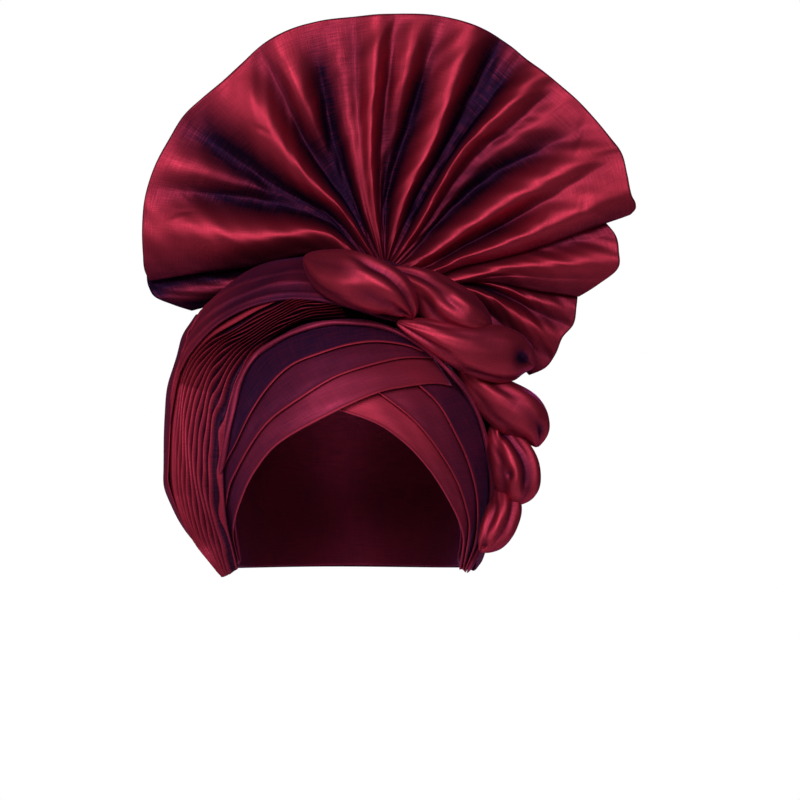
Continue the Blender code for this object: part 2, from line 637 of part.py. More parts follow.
def make_fan():
    behind = WRAP_SETBACK + FAN_WALL + LOBE_GAP
    fan_sheet("fan", FAN_PLEATS, FAN_START, FAN_END, FAN_REACH, FAN_FOOT, GATHER_RADIUS,
              WRAP_SETBACK, 63, PLEAT_DEPTH, RIM_ROLL)
    fan_sheet("fan_lobe_left", LOBE_LEFT_PLEATS, LOBE_LEFT_START, LOBE_LEFT_END, LEFT_REACH, LOBE_LEFT_FOOT,
              LOBE_START, behind + LOBE_DEPTH, 9, LOBE_DEPTH, LOBE_RIM_ROLL)
    fan_sheet("fan_lobe_right_upper", LOBE_UPPER_PLEATS, LOBE_UPPER_START, LOBE_UPPER_END, UPPER_REACH,
              LOBE_UPPER_FOOT, LOBE_START, behind, 11, LOBE_DEPTH, LOBE_RIM_ROLL)
    fan_sheet("fan_lobe_right_lower", LOBE_LOWER_PLEATS, LOBE_LOWER_START, LOBE_LOWER_END, LOWER_REACH,
              LOBE_LOWER_FOOT, LOBE_START, behind + LOBE_DEPTH, 11, LOBE_DEPTH, LOBE_RIM_ROLL)


def twist_lobe(number, swell):
    """One soft lobe of the rope; swell makes it larger all round, to cut its neighbour."""
    rows = [TwistSection(*row) for row in TWIST_LOBES[number]]
    count = 2 * len(rows) - 1
    centres = [(r.across * FAN_RADIUS, -r.out * WRAP_FRONT, r.up * WRAP_RISE) for r in rows]
    path = smooth_line(centres, count)
    path[0] += (path[0] - path[1]).normalized() * swell
    path[-1] += (path[-1] - path[-2]).normalized() * swell
    size = smooth_line([(r.width, r.depth, 0) for r in rows], count)
    rings = []
    for k, middle in enumerate(path):
        along = path[min(k + 1, count - 1)] - path[max(k - 1, 0)]
        across = Vector((along.z, 0, -along.x)).normalized()
        half_width = max(size[k].x, TWIST_THIN_END) * TWIST_WIDTH + swell
        half_depth = max(size[k].y, TWIST_THIN_END) * TWIST_WIDTH + swell
        rings.append([middle + across * (half_width * math.cos(2 * math.pi * s / TWIST_SIDES))
                      + Vector((0, 1, 0)) * (half_depth * math.sin(2 * math.pi * s / TWIST_SIDES))
                      for s in range(TWIST_SIDES)])
    return tube_solid(f"twist_{number + 1}", "taffeta_twist", rings)


def make_twist():
    """The lobes pass over and under each other, and each one under is cut clear of the one over it."""
    for number in range(len(TWIST_LOBES)):
        lobe = twist_lobe(number, 0.0)
        for over in TWIST_OVER.get(number, ()):
            cutter = twist_lobe(over, TWIST_GAP)
            cutter.name = f"cutter_{number + 1}_{over + 1}"
            cutter.hide_render = True
            cutter.display_type = "WIRE"
            cut = lobe.modifiers.new(f"under_{over + 1}", "BOOLEAN")
            cut.operation = "DIFFERENCE"
            cut.object = cutter


clear_scene()
make_cap_wrap()
make_outer_wrap()
make_brow_folds()
make_brow_roll()
make_side_pleats()
make_fan()
make_twist()
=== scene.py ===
"""Tied gele head tie in shot taffeta: the cloth of each piece, its finish with painted shade in its folds and
painted light on its ridges and edges, and a plain studio.
"""
import math
from collections import namedtuple

import bpy
import numpy as np
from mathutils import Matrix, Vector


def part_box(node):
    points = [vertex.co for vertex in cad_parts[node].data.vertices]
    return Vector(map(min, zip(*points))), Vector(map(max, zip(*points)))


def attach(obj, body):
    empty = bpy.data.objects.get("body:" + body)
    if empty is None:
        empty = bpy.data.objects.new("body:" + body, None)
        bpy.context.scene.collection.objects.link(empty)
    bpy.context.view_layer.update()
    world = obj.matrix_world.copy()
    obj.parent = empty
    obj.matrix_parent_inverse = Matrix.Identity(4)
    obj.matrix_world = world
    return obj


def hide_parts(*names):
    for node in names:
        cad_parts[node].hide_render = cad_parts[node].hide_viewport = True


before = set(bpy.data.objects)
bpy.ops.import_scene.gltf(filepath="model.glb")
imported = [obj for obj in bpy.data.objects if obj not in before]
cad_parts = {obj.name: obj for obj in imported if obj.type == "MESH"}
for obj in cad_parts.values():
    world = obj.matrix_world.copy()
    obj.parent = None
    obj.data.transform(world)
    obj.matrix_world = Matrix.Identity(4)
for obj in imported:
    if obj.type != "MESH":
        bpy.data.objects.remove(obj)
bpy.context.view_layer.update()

MM = 0.001

# Head hollow, read from the frame, and the head's shape
CAP_WALL = 0.0016
CAP_LOW, CAP_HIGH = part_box("cap_wrap")
HEAD_HALF_BREADTH = (CAP_HIGH[0] - CAP_LOW[0]) / 2 - CAP_WALL
HEAD_HALF_LENGTH = CAP_HIGH[1] - CAP_WALL
CROWN_RISE = CAP_HIGH[2] - CAP_WALL
NAPE_DROP = 0.060
HEAD_FULLNESS = 2.3
NAPE_TAPER = 0.15
SIDE_LIMIT = 0.992
TOP_LIMIT = 0.999

# Brow layers
FOLD_WALL = 0.0011
FOLD_GAP = 0.0006
EDGE_OVERLAP = 0.32
EAR_FULLNESS = 0.004
EAR_START = 0.3
LEFT_CROSS_START = -0.72
LEFT_CROSS_END = -0.24

# Outer wrap
WRAP_HALF_BREADTH = 0.101
WRAP_SIDE_SHIFT = -0.009
WRAP_SETBACK = 0.006
WRAP_FRONT = 0.090
WRAP_BACK = 0.102
WRAP_RISE = 0.131
WRAP_FULLNESS = 2.6
WRAP_WALL = 0.0016
WRAP_LOW_LEFT = 0.075
WRAP_LOW_BACK = 0.115
SLOT_WIDTH = 0.040
SLOT_END_LEFT = 0.81
SLOT_END_RIGHT = 0.925

# Fan and rope
FAN_RADIUS = 0.150
FAN_ACROSS = 0.0228
FAN_HEIGHT = 0.1248
TWIST_WIDTH = 0.031


# Small maths

def ease(value, start, end):
    """0 before start, 1 past end, and smooth between."""
    share = np.clip((np.asarray(value, float) - start) / (end - start), 0.0, 1.0)
    return share * share * (3 - 2 * share)


def bump(value, centre, width):
    """1 at the centre and fading over width on both sides."""
    return np.exp(-((value - centre) / width) ** 2)


def flow(keys, values, at):
    """A smooth line through values at keys, read at each place of at."""
    keys, values = np.asarray(keys, float), np.asarray(values, float)
    if keys[0] > keys[-1]:
        keys, values = keys[::-1], values[::-1]
    slopes = np.gradient(values, keys, axis=0)
    at = np.clip(at, keys[0], keys[-1])
    cell = np.clip(np.searchsorted(keys, at) - 1, 0, len(keys) - 2)
    span = keys[cell + 1] - keys[cell]
    t = (at - keys[cell]) / span
    if values.ndim > 1:
        span, t = span[..., None], t[..., None]
    return ((1 + 2 * t) * (1 - t) ** 2 * values[cell] + t * (1 - t) ** 2 * span * slopes[cell]
            + t * t * (3 - 2 * t) * values[cell + 1] + t * t * (t - 1) * span * slopes[cell + 1])


def read_table(table, at):
    """A smooth line through the rows of a table, whose first column is the place."""
    return flow([row[0] for row in table], [row[1] if len(row) == 2 else row[1:] for row in table], at)


def smooth_line(points, count, measured=3):
    """count points, evenly spread along a smooth curve; its length is measured on the first columns."""
    points = np.array(points, float)
    ends = np.vstack([2 * points[0] - points[1], points, 2 * points[-1] - points[-2]])
    steps = np.linspace(0, 1, 24, endpoint=False)[:, None]
    dense = []
    for a, b, c, d in zip(ends, ends[1:], ends[2:], ends[3:]):
        dense.append(0.5 * (2 * b + (c - a) * steps + (2 * a - 5 * b + 4 * c - d) * steps**2
                            + (3 * b - a - 3 * c + d) * steps**3))
    dense = np.vstack(dense + [points[-1:]])
    run = np.concatenate([[0], np.cumsum(steps_along(dense[:, :measured]))])
    goals = np.linspace(0, run[-1], count)
    return np.stack([np.interp(goals, run, dense[:, k]) for k in range(dense.shape[1])], axis=1)


def front_line(points, count):
    """A smooth line through points of the front view, given in millimetres."""
    return smooth_line(np.array(points) * MM, count)


def steps_along(points):
    """The distance from each point, or row of points, to the next."""
    return np.linalg.norm(np.diff(points, axis=0), axis=-1)


def unit(vectors):
    return vectors / np.maximum(np.linalg.norm(vectors, axis=-1, keepdims=True), 1e-9)


def edge_spread(count, fine):
    """Shares from 0 to 1, even but for close ones over the fine share at both ends."""
    close = fine * np.array([0.0, 0.08, 0.3, 0.65])
    return np.concatenate([close, np.linspace(fine, 1 - fine, count), 1 - close[::-1]])


def edge_round(shares, fine):
    """Near 0 at both ends and 1 between, round over the fine share."""
    gap = np.minimum(np.minimum(shares, 1 - shares) / fine, 1.0)
    return np.maximum(np.sqrt(1 - (1 - gap) ** 2), 0.05)


def ripple(a, b, waves):
    """A soft irregular wave over two coordinates, from (a, b, phase, weight) waves."""
    total = 0.0
    for turns_a, turns_b, phase, weight in waves:
        total = total + weight * np.sin(2 * np.pi * (turns_a * a + turns_b * b) + phase)
    return total


# Meshes

def quads(grid):
    """The four corners of each cell of a grid, in turn."""
    return np.stack([grid[:-1, :-1], grid[:-1, 1:], grid[1:, 1:], grid[1:, :-1]], axis=2)


def set_violet_and_painted_shade(mesh, shot):
    """Stores at each point of a mesh, 0 to 1, how dark its colour is painted: the violet of the shot cloth
    with painted shade.
    """
    layer = mesh.attributes.new("shot", "FLOAT", "POINT")
    layer.data.foreach_set("value", np.clip(shot, 0, 1).astype(np.float32))


def set_weave(mesh, uv):
    """Stores where each face corner lies in the flat cloth, in metres."""
    mesh.uv_layers.new(name="weave").data.foreach_set("uv", uv.astype(np.float32).reshape(-1))


def orient_out(mesh):
    """Turns the faces of a closed mesh so that they point out."""
    mesh.calc_loop_triangles()
    corners = np.zeros(len(mesh.loop_triangles) * 3, dtype=np.int32)
    mesh.loop_triangles.foreach_get("vertices", corners)
    places = np.zeros(len(mesh.vertices) * 3, dtype=np.float32)
    mesh.vertices.foreach_get("co", places)
    a, b, c = places.reshape(-1, 3)[corners.reshape(-1, 3)].astype(float).transpose(1, 0, 2)
    if np.einsum("ij,ij->i", a, np.cross(b, c)).sum() < 0:
        mesh.flip_normals()


def add_piece(name, mesh):
    orient_out(mesh)
    mesh.shade_smooth()
    piece = bpy.data.objects.new(name, mesh)
    bpy.context.scene.collection.objects.link(piece)
    return piece


def closed_cloth(name, front, back, weave, shot, ring=False):
    """A closed piece of cloth between two grids of points, with the weave's u and v in metres."""
    rows, columns = front.shape[:2]
    skin = rows * columns
    at = np.arange(skin).reshape(rows, columns)
    if ring:
        at = np.hstack([at, at[:, :1]])
    cells = quads(at).reshape(-1, 4)
    faces = [cells, cells[:, ::-1] + skin]
    edges = [(at[0], True), (at[-1], False)]
    if not ring:
        edges += [(at[:, 0], False), (at[:, -1], True)]
    for edge, flip in edges:
        strip = np.stack([edge[:-1], edge[1:], edge[1:] + skin, edge[:-1] + skin], axis=-1)
        faces.append(strip[:, ::-1] if flip else strip)
    faces = np.vstack(faces)
    mesh = bpy.data.meshes.new(name)
    mesh.from_pydata(np.vstack([front.reshape(-1, 3), back.reshape(-1, 3)]).tolist(), [], faces.tolist())
    place = faces.reshape(-1) % skin
    uv = np.stack([part.reshape(-1)[place] for part in weave], axis=-1)
    if ring:
        closes = (faces % skin % columns == columns - 1).any(axis=1)
        seam = (place % columns == 0) & np.repeat(closes, 4)
        uv[seam, 0] = 2 * weave[0][0, -1] - weave[0][0, -2]
    set_weave(mesh, uv)
    set_violet_and_painted_shade(mesh, np.tile(np.broadcast_to(shot, (rows, columns)).reshape(-1), 2))
    return add_piece(name, mesh)


def closed_tube(name, rings, weave, shot):
    """A closed tube through rings[row, side], with a point at each end; weave is its girth and length."""
    rows, sides = rings.shape[:2]
    girth, length = weave
    row, side = np.mgrid[:rows, :sides + 1]
    at = row * sides + side % sides
    flat = np.stack([girth * side / sides, length * row / (rows - 1)], axis=-1)
    faces = quads(at).reshape(-1, 4).tolist()
    uv = [quads(flat).reshape(-1, 2)]
    for end, last, first, second in ((0, 0, 1, 0), (1, rows - 1, 0, 1)):
        first, second = slice(first, first + sides), slice(second, second + sides)
        point = np.full(sides, rows * sides + end)
        faces += np.stack([at[last, first], at[last, second], point], axis=-1).tolist()
        tip = np.broadcast_to((girth / 2, length * end), (sides, 2))
        uv.append(np.stack([flat[last, first], flat[last, second], tip], axis=1).reshape(-1, 2))
    points = np.vstack([rings.reshape(-1, 3), rings[0].mean(axis=0), rings[-1].mean(axis=0)])
    mesh = bpy.data.meshes.new(name)
    mesh.from_pydata(points.tolist(), [], faces)
    set_weave(mesh, np.vstack(uv))
    shot = np.broadcast_to(shot, (rows, sides))
    set_violet_and_painted_shade(mesh, np.append(shot.reshape(-1), [shot[0].mean(), shot[-1].mean()]))
    return add_piece(name, mesh)


def finish_piece(piece, cloth, nodes):
    """Gives a piece its cloth, hangs it under the root body, and hides the frame's parts for the nodes that
    it stands for.
    """
    piece.data.materials.append(CLOTHS[cloth])
    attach(piece, "root")
    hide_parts(*nodes)


# Shot taffeta. Noise scales are per metre of the weave map, along u and v.
WEFT_SCALE = (70, 1500, 1)
WARP_SCALE = (1700, 60, 1)
PATCH_SCALE = (38, 26, 1)
THREAD_SCALE = (2600, 2600, 1)
WEFT_SHARE = 0.6
THREAD_SHARE = 0.5
SLUB_COLOUR = 3.0
SLUB_ROUGHNESS = 0.35
PATCH_ROUGHNESS = 0.25
SLUB = 0.28
RELIEF = 0.3
RELIEF_DEPTH = 0.0004
SHEEN_ROUGHNESS = 0.45


def add_node(tree, kind, place, **values):
    node = tree.nodes.new(kind)
    node.location = place
    for key, value in values.items():
        setattr(node, key, value)
    return node


def make_weave_and_shade_group():
    """Slubs, threads and patches of a woven cloth from its weave map in metres, and its colour darkened by
    the painted shade stored at each point.
    """
    tree = bpy.data.node_groups.new("taffeta_weave_and_shade", "ShaderNodeTree")
    for name, kind, value in (("Lit Thread", "NodeSocketColor", (0.4, 0.02, 0.05, 1)),
                              ("Violet And Shade Thread", "NodeSocketColor", (0.1, 0.01, 0.05, 1)),
                              ("Slub", "NodeSocketFloat", 0.3), ("Gloss", "NodeSocketFloat", 0.35),
                              ("Patches", "NodeSocketFloat", 0.3)):
        tree.interface.new_socket(name, in_out="INPUT", socket_type=kind).default_value = value
    for name, kind in (("Colour", "NodeSocketColor"), ("Roughness", "NodeSocketFloat"),
                       ("Height", "NodeSocketFloat")):
        tree.interface.new_socket(name, in_out="OUTPUT", socket_type=kind)
    given = add_node(tree, "NodeGroupInput", (-1200, 0)).outputs
    made = add_node(tree, "NodeGroupOutput", (900, 0)).inputs
    weave = add_node(tree, "ShaderNodeUVMap", (-1200, -300), uv_map="weave")

    def noise(scale, detail, down):
        stretch = add_node(tree, "ShaderNodeMapping", (-900, down))
        stretch.inputs["Scale"].default_value = scale
        grain = add_node(tree, "ShaderNodeTexNoise", (-700, down))
        grain.inputs["Scale"].default_value = 1.0
        grain.inputs["Detail"].default_value = detail
        tree.links.new(weave.outputs["UV"], stretch.inputs["Vector"])
        tree.links.new(stretch.outputs["Vector"], grain.inputs["Vector"])
        return grain.outputs["Fac"]

    def maths(operation, a, b, place, clamp=False):
        node = add_node(tree, "ShaderNodeMath", place, operation=operation, use_clamp=clamp)
        for socket, value in zip(node.inputs, (a, b)):
            if isinstance(value, (int, float)):
                socket.default_value = value
            else:
                tree.links.new(value, socket)
        return node.outputs[0]

    weft, warp = noise(WEFT_SCALE, 2.0, 100), noise(WARP_SCALE, 2.0, -150)
    patches, threads = noise(PATCH_SCALE, 3.0, -400), noise(THREAD_SCALE, 0.0, -650)
    both = maths("ADD", maths("MULTIPLY", weft, WEFT_SHARE, (-450, 100)),
                 maths("MULTIPLY", warp, 1 - WEFT_SHARE, (-450, -50)), (-250, 50))
    centred = maths("SUBTRACT", both, 0.5, (-100, 50))
    slub = maths("MULTIPLY", centred, given["Slub"], (50, 50))
    patch = maths("MULTIPLY", maths("SUBTRACT", patches, 0.5, (-450, -400)), given["Patches"], (-250, -400))

    # The stored share paints shade into folds, creases, gaps and hollows, and light on ridges, crests and
    # edges, over the violet of the shot cloth.
    shot = add_node(tree, "ShaderNodeAttribute", (200, 250), attribute_name="shot")
    crossing = maths("ADD", maths("MULTIPLY", slub, SLUB_COLOUR, (200, 50)), patch, (350, 50))
    share = maths("ADD", crossing, shot.outputs["Fac"], (500, 50), clamp=True)
    mix = add_node(tree, "ShaderNodeMix", (650, 200), data_type="RGBA")
    tree.links.new(share, mix.inputs["Factor"])
    tree.links.new(given["Lit Thread"], mix.inputs["A"])
    tree.links.new(given["Violet And Shade Thread"], mix.inputs["B"])
    tree.links.new(mix.outputs["Result"], made["Colour"])

    worn = maths("ADD", given["Gloss"], maths("MULTIPLY", patch, PATCH_ROUGHNESS, (50, -350)), (200, -350))
    grained = maths("MULTIPLY", centred, SLUB_ROUGHNESS, (200, -200))
    tree.links.new(maths("ADD", grained, worn, (400, -250), clamp=True), made["Roughness"])
    height = maths("ADD", both, maths("MULTIPLY", threads, THREAD_SHARE, (-450, -650)), (50, -600))
    tree.links.new(height, made["Height"])
    return tree


# The second colour of each cloth is a near-black violet: the violet crossing thread darkened into painted
# shade.
Cloth = namedtuple("Cloth", "lit crossing gloss patches metallic edge sheen sheen_tint")
CLOTH_LOOKS = {
    "taffeta_fan": Cloth((0.40, 0.026, 0.053), (0.012, 0.003, 0.016), 0.49, 0.30, 0.92,
                         (0.45, 0.30, 0.75), 0.02, (0.35, 0.22, 0.95)),
    "taffeta_twist": Cloth((0.44, 0.030, 0.060), (0.030, 0.005, 0.028), 0.50, 0.25, 0.85,
                           (0.45, 0.30, 0.75), 0.02, (0.35, 0.22, 0.95)),
    "taffeta_brow": Cloth((0.48, 0.034, 0.068), (0.045, 0.009, 0.046), 0.55, 0.25, 0.65,
                          (0.35, 0.25, 0.80), 0.04, (0.35, 0.22, 0.95)),
    "taffeta_pleats": Cloth((0.42, 0.026, 0.052), (0.022, 0.003, 0.014), 0.50, 0.25, 0.55,
                            (0.35, 0.22, 0.60), 0.02, (0.40, 0.20, 0.70)),
    "taffeta_wrap": Cloth((0.36, 0.022, 0.046), (0.030, 0.006, 0.030), 0.52, 0.35, 0.70,
                          (0.35, 0.22, 0.70), 0.04, (0.35, 0.22, 0.95)),
}


def make_cloth(name, look, weave):
    made = bpy.data.materials.new(name)
    made.use_nodes = True
    tree = made.node_tree
    shader = tree.nodes["Principled BSDF"].inputs
    cloth = add_node(tree, "ShaderNodeGroup", (-500, 100), node_tree=weave)
    relief = add_node(tree, "ShaderNodeBump", (-250, -200))
    for sockets, values in (
            (shader, {"Metallic": look.metallic, "Specular Tint": (*look.edge, 1), "Sheen Weight": look.sheen,
                      "Sheen Roughness": SHEEN_ROUGHNESS, "Sheen Tint": (*look.sheen_tint, 1)}),
            (cloth.inputs, {"Lit Thread": (*look.lit, 1), "Violet And Shade Thread": (*look.crossing, 1),
                            "Slub": SLUB, "Gloss": look.gloss, "Patches": look.patches}),
            (relief.inputs, {"Strength": RELIEF, "Distance": RELIEF_DEPTH})):
        for socket, value in values.items():
            sockets[socket].default_value = value
    tree.links.new(cloth.outputs["Colour"], shader["Base Color"])
    tree.links.new(cloth.outputs["Roughness"], shader["Roughness"])
    tree.links.new(cloth.outputs["Height"], relief.inputs["Height"])
    tree.links.new(relief.outputs["Normal"], shader["Normal"])
    return made


WEAVE_AND_SHADE = make_weave_and_shade_group()
CLOTHS = {name: make_cloth(name, look, WEAVE_AND_SHADE) for name, look in CLOTH_LOOKS.items()}


# Forms that the pieces lie on

def head_share(z, out):
    """How much of the head's breadth is left at height z, on the surface that lies out from the head."""
    up = np.minimum(np.maximum(z, 0) / (CROWN_RISE + out), TOP_LIMIT)
    high = (1 - up ** HEAD_FULLNESS) ** (1 / HEAD_FULLNESS)
    return np.where(z > 0, high, 1 - NAPE_TAPER * (z / NAPE_DROP) ** 2)


def on_head(x, z, out):
    """The front point of the head's surface, out from it, that is seen at x and z."""
    share = head_share(z, out)
    side = np.clip(x / ((HEAD_HALF_BREADTH + out) * share), -SIDE_LIMIT, SIDE_LIMIT)
    return np.stack([side * (HEAD_HALF_BREADTH + out) * share,
                     -(HEAD_HALF_LENGTH + out) * share * np.sqrt(1 - side * side), z + 0 * side], axis=-1)


def cap_point(turn, lift, out):
    """turn in degrees from the brow; lift -1 at the nape, 0 at hat-band level, 1 at the crown."""
    climb = np.maximum(lift, 0) * np.pi / 2
    high = np.maximum(np.cos(climb), 0) ** (2 / HEAD_FULLNESS)
    share = np.where(lift >= 0, high, 1 - NAPE_TAPER * lift * lift)
    z = np.where(lift >= 0, (CROWN_RISE + out) * np.sin(climb) ** (2 / HEAD_FULLNESS), lift * NAPE_DROP)
    angle = np.radians(turn)
    return np.stack([(HEAD_HALF_BREADTH + out) * share * np.sin(angle),
                     -(HEAD_HALF_LENGTH + out) * share * np.cos(angle), z], axis=-1)


def cap_top(x, y, out):
    """Height of the under-wrap over x, y."""
    spread = np.hypot(x / (HEAD_HALF_BREADTH + out), y / (HEAD_HALF_LENGTH + out))
    return (CROWN_RISE + out) * (1 - spread ** HEAD_FULLNESS) ** (1 / HEAD_FULLNESS)


def wrap_point(turn, climb, out):
    """A point of the outer wrap: climb is 0 at hat-band level, 90 at its top and negative below."""
    angle, rise = np.radians(turn), np.radians(climb)
    side = np.sin(angle)
    up = climb >= 0
    low = WRAP_LOW_BACK + (WRAP_LOW_LEFT - WRAP_LOW_BACK) * np.maximum(0.0, -side) ** 2
    z_low = WRAP_RISE * np.sin(rise)
    above = np.maximum(np.cos(rise), 0.0) ** (2 / WRAP_FULLNESS)
    across = np.where(up, above, np.sqrt(np.maximum(1 - (z_low / low) ** 2, 0.0)))
    along = np.where(up, above, np.sqrt(1 - np.minimum(z_low / WRAP_LOW_BACK, 0) ** 2))
    z = np.where(up, (WRAP_RISE + out) * np.maximum(np.sin(rise), 0) ** (2 / WRAP_FULLNESS), z_low)
    reach = np.where(np.cos(angle) > 0, WRAP_FRONT, WRAP_BACK) + out
    return np.stack([WRAP_SIDE_SHIFT + (WRAP_HALF_BREADTH + out) * across * side,
                     WRAP_SETBACK - reach * along * np.cos(angle), z], axis=-1)


def wrap_climb(up):
    """The climb of the outer wrap at a height, as a share of WRAP_RISE."""
    return np.where(up >= 0, np.degrees(np.arcsin(np.maximum(up, 0) ** (WRAP_FULLNESS / 2))),
                    -np.degrees(np.arcsin(np.maximum(-up, 0))))


def on_wrap(x, z, out):
    """The front point of the outer wrap that is seen at x and z."""
    share = np.minimum(np.maximum(z, 0) / (WRAP_RISE + out), TOP_LIMIT)
    above = (1 - share ** WRAP_FULLNESS) ** (1 / WRAP_FULLNESS)
    low = np.where(x < 0, WRAP_LOW_LEFT, WRAP_LOW_BACK)
    across = np.where(z > 0, above, np.sqrt(1 - np.minimum(z / low, 0) ** 2))
    along = np.where(z > 0, above, np.sqrt(1 - np.minimum(z / WRAP_LOW_BACK, 0) ** 2))
    reach = (WRAP_HALF_BREADTH + out) * across
    side = np.clip((x - WRAP_SIDE_SHIFT) / reach, -SIDE_LIMIT, SIDE_LIMIT)
    forward = (WRAP_FRONT + out) * along * np.sqrt(1 - side * side)
    return np.stack([WRAP_SIDE_SHIFT + side * reach, WRAP_SETBACK - forward, z + 0 * side], axis=-1)


def slot_climb(turn):
    """The climb at which a column of the outer wrap meets the slot."""
    facing = np.cos(np.radians(turn))
    reach = np.where(facing > 0, WRAP_FRONT, WRAP_BACK)
    end = SLOT_END_LEFT + (SLOT_END_RIGHT - SLOT_END_LEFT) * (np.sin(np.radians(turn)) + 1) / 2
    share = np.minimum(end, SLOT_WIDTH / 2 / (reach * np.maximum(np.abs(facing), 1e-6)))
    return np.degrees(np.arccos(share ** (WRAP_FULLNESS / 2)))


# Fan: fold lines across the cloth, from the lower left round to the right. Angles are in degrees from +X at
# the near, middle and outer thirds; heights, in shares of the fold depth, are at five places along the line.
FoldLine = namedtuple("FoldLine", "near middle rim h_near h_middle h_far h_end h_rim")
FAN_LINES = [
    (168, 180.0, 184.5, -0.3, -0.5, -0.4, -0.3, -0.3), (149, 168.0, 171.5, 0.9, 0.95, 0.95, 0.8, 0.35),
    (141, 151.0, 162.5, -1.0, -1.0, -0.75, -0.1, 0.3), (139, 147.5, 156.0, -1.0, -0.95, -0.2, 0.4, 0.4),
    (137, 144.5, 145.5, -1.0, -1.0, -0.95, -0.7, -0.1), (128, 132.5, 129.0, 1.0, 1.0, 0.95, 0.85, 0.45),
    (122, 124.0, 120.5, -1.0, -0.95, -0.45, -0.2, 0.2), (119, 118.0, 116.0, -1.0, -0.8, 0.5, 0.65, 0.45),
    (117, 113.5, 107.0, -1.0, -1.0, -0.85, -0.3, 0.2), (110, 105.0, 101.5, 0.3, 0.35, 0.1, 0.1, 0.2),
    (107, 102.0, 97.5, 0.6, 0.3, -0.15, -0.1, 0.1), (101, 97.0, 91.5, 1.0, 1.05, 1.0, 0.95, 0.6),
    (95, 91.5, 87.5, -0.4, -0.35, -0.2, 0.0, 0.2), (93, 87.0, 82.5, -0.9, -0.45, 0.6, 0.75, 0.5),
    (90, 81.5, 77.0, -1.0, -1.0, -0.65, -0.2, 0.15), (74, 68.6, 70.0, 0.95, 1.0, 1.0, 0.95, 0.7),
    (65, 62.5, 62.5, -1.0, -1.1, -1.05, -0.95, -0.5), (61.5, 60.6, 59.0, -1.05, -1.1, -0.95, -0.55, -0.1),
    (59.5, 59.0, 56.8, -0.95, -0.95, -0.85, -0.6, -0.25), (50, 55.5, 50.5, 1.0, 1.0, 1.0, 0.95, 0.65),
    (44, 49.5, 45.5, -0.5, -0.4, -0.2, 0.0, 0.3), (42, 46.0, 41.5, -0.5, -0.4, 0.1, 0.35, 0.45),
    (38, 39.5, 34.0, -1.0, -1.0, -0.6, 0.0, 0.3), (19, 25.5, 27.5, 0.95, 1.0, 0.9, 0.75, 0.5),
    (9, 17.5, 24.5, -0.7, -0.65, 0.2, 0.4, 0.4), (1, 9.0, 17.0, 0.8, 0.95, 0.95, 0.85, 0.7),
    (-5, 2.5, 11.0, -0.3, -0.3, -0.3, -0.2, -0.1),
]
LEFT_END_LINES = [
    (192, 193, 194.0, -0.4, -0.2, 0.0, 0.0, 0.0), (184, 187, 190.0, 0.5, 0.6, 0.7, 0.6, 0.3),
    (172, 180, 184.5, -0.5, -0.3, -0.2, 0.0, 0.1), (150, 168, 177.0, -0.6, -0.5, -0.5, -0.5, -0.4),
]
UPPER_END_LINES = [
    (4, 9, 13.5, -0.6, -0.6, -0.6, -0.6, -0.6), (-4, 4, 7.0, -0.5, -0.4, -0.3, -0.2, 0.0),
    (-20, -4.0, 0.8, 0.8, 1.0, 1.0, 0.9, 0.6), (-24, -8.0, -4.5, 0.0, 0.1, 0.2, 0.2, 0.2),
    (-28, -12.0, -10.0, -0.5, -0.4, -0.3, -0.3, -0.2),
]
LOWER_END_LINES = [
    (-8, -5, -3.0, -0.8, -0.8, -0.8, -0.8, -0.7), (-12, -8.5, -9.0, -0.8, -0.7, -0.6, -0.4, -0.2),
    (-15, -11.5, -15.0, 0.2, 0.3, 0.4, 0.4, 0.3), (-18, -14.0, -19.3, -0.5, -0.5, -0.3, -0.1, 0.1),
    (-21, -17.5, -24.5, 0.9, 1.0, 0.9, 0.7, 0.4), (-27, -25.0, -31.0, -0.4, -0.4, -0.2, -0.1, 0.0),
    (-33, -30.0, -38.0, -0.2, -0.2, -0.3, -0.4, -0.4),
]

# Reach of the rim by angle, in shares of FAN_RADIUS
FAN_REACH = [(186, 0.935), (182, 0.965), (178, 0.972), (172, 0.984), (165, 0.998), (158, 1.002), (150, 0.999),
             (144, 1.002), (138, 0.988), (132, 0.978), (126, 0.985), (119, 1.006), (112, 1.012), (105, 1.006),
             (97, 0.996), (91, 0.998), (85, 1.004), (79, 1.014), (72, 1.019), (66, 1.018), (60, 1.007),
             (55, 0.996), (50, 0.997), (45, 1.002), (40, 1.011), (34, 1.022), (29, 1.034), (25, 1.046),
             (20, 1.034), (15, 1.026), (13, 1.033), (11.9, 1.026), (11, 1.004)]
LEFT_END_REACH = [(194, 0.80), (191, 0.875), (188.5, 0.935), (186, 0.955), (182, 0.96), (176, 0.95)]
UPPER_END_REACH = [(14, 0.86), (10.2, 0.902), (6.6, 0.934), (2.7, 0.940), (-1.5, 0.935), (-5.6, 0.866),
                   (-10, 0.79)]
LOWER_END_REACH = [(-3, 0.77), (-9, 0.785), (-12.9, 0.79), (-18.2, 0.797), (-22.7, 0.775), (-28.1, 0.778),
                   (-33, 0.772), (-38, 0.735)]

# Where the pleats leave the gather, in millimetres from its middle: share of the cloth's width, across, up
FAN_GATHER = [(0.0, -9.0, -5.0), (0.15, -5.5, -2.0), (0.35, -2.5, -0.3), (0.55, 0.5, 0.0), (0.70, 3.0, -1.0),
              (0.82, 6.5, -3.2), (0.92, 11.0, -6.8), (1.0, 15.0, -10.0)]
LEFT_END_GATHER = [(0.0, -9.0, -9.0), (1.0, -6.0, -4.0)]
UPPER_END_GATHER = [(0.0, 14.0, -8.0), (1.0, 22.0, -13.0)]
LOWER_END_GATHER = [(0.0, 20.0, -11.0), (1.0, 28.0, -17.0)]
GATHER_REACH = 0.35

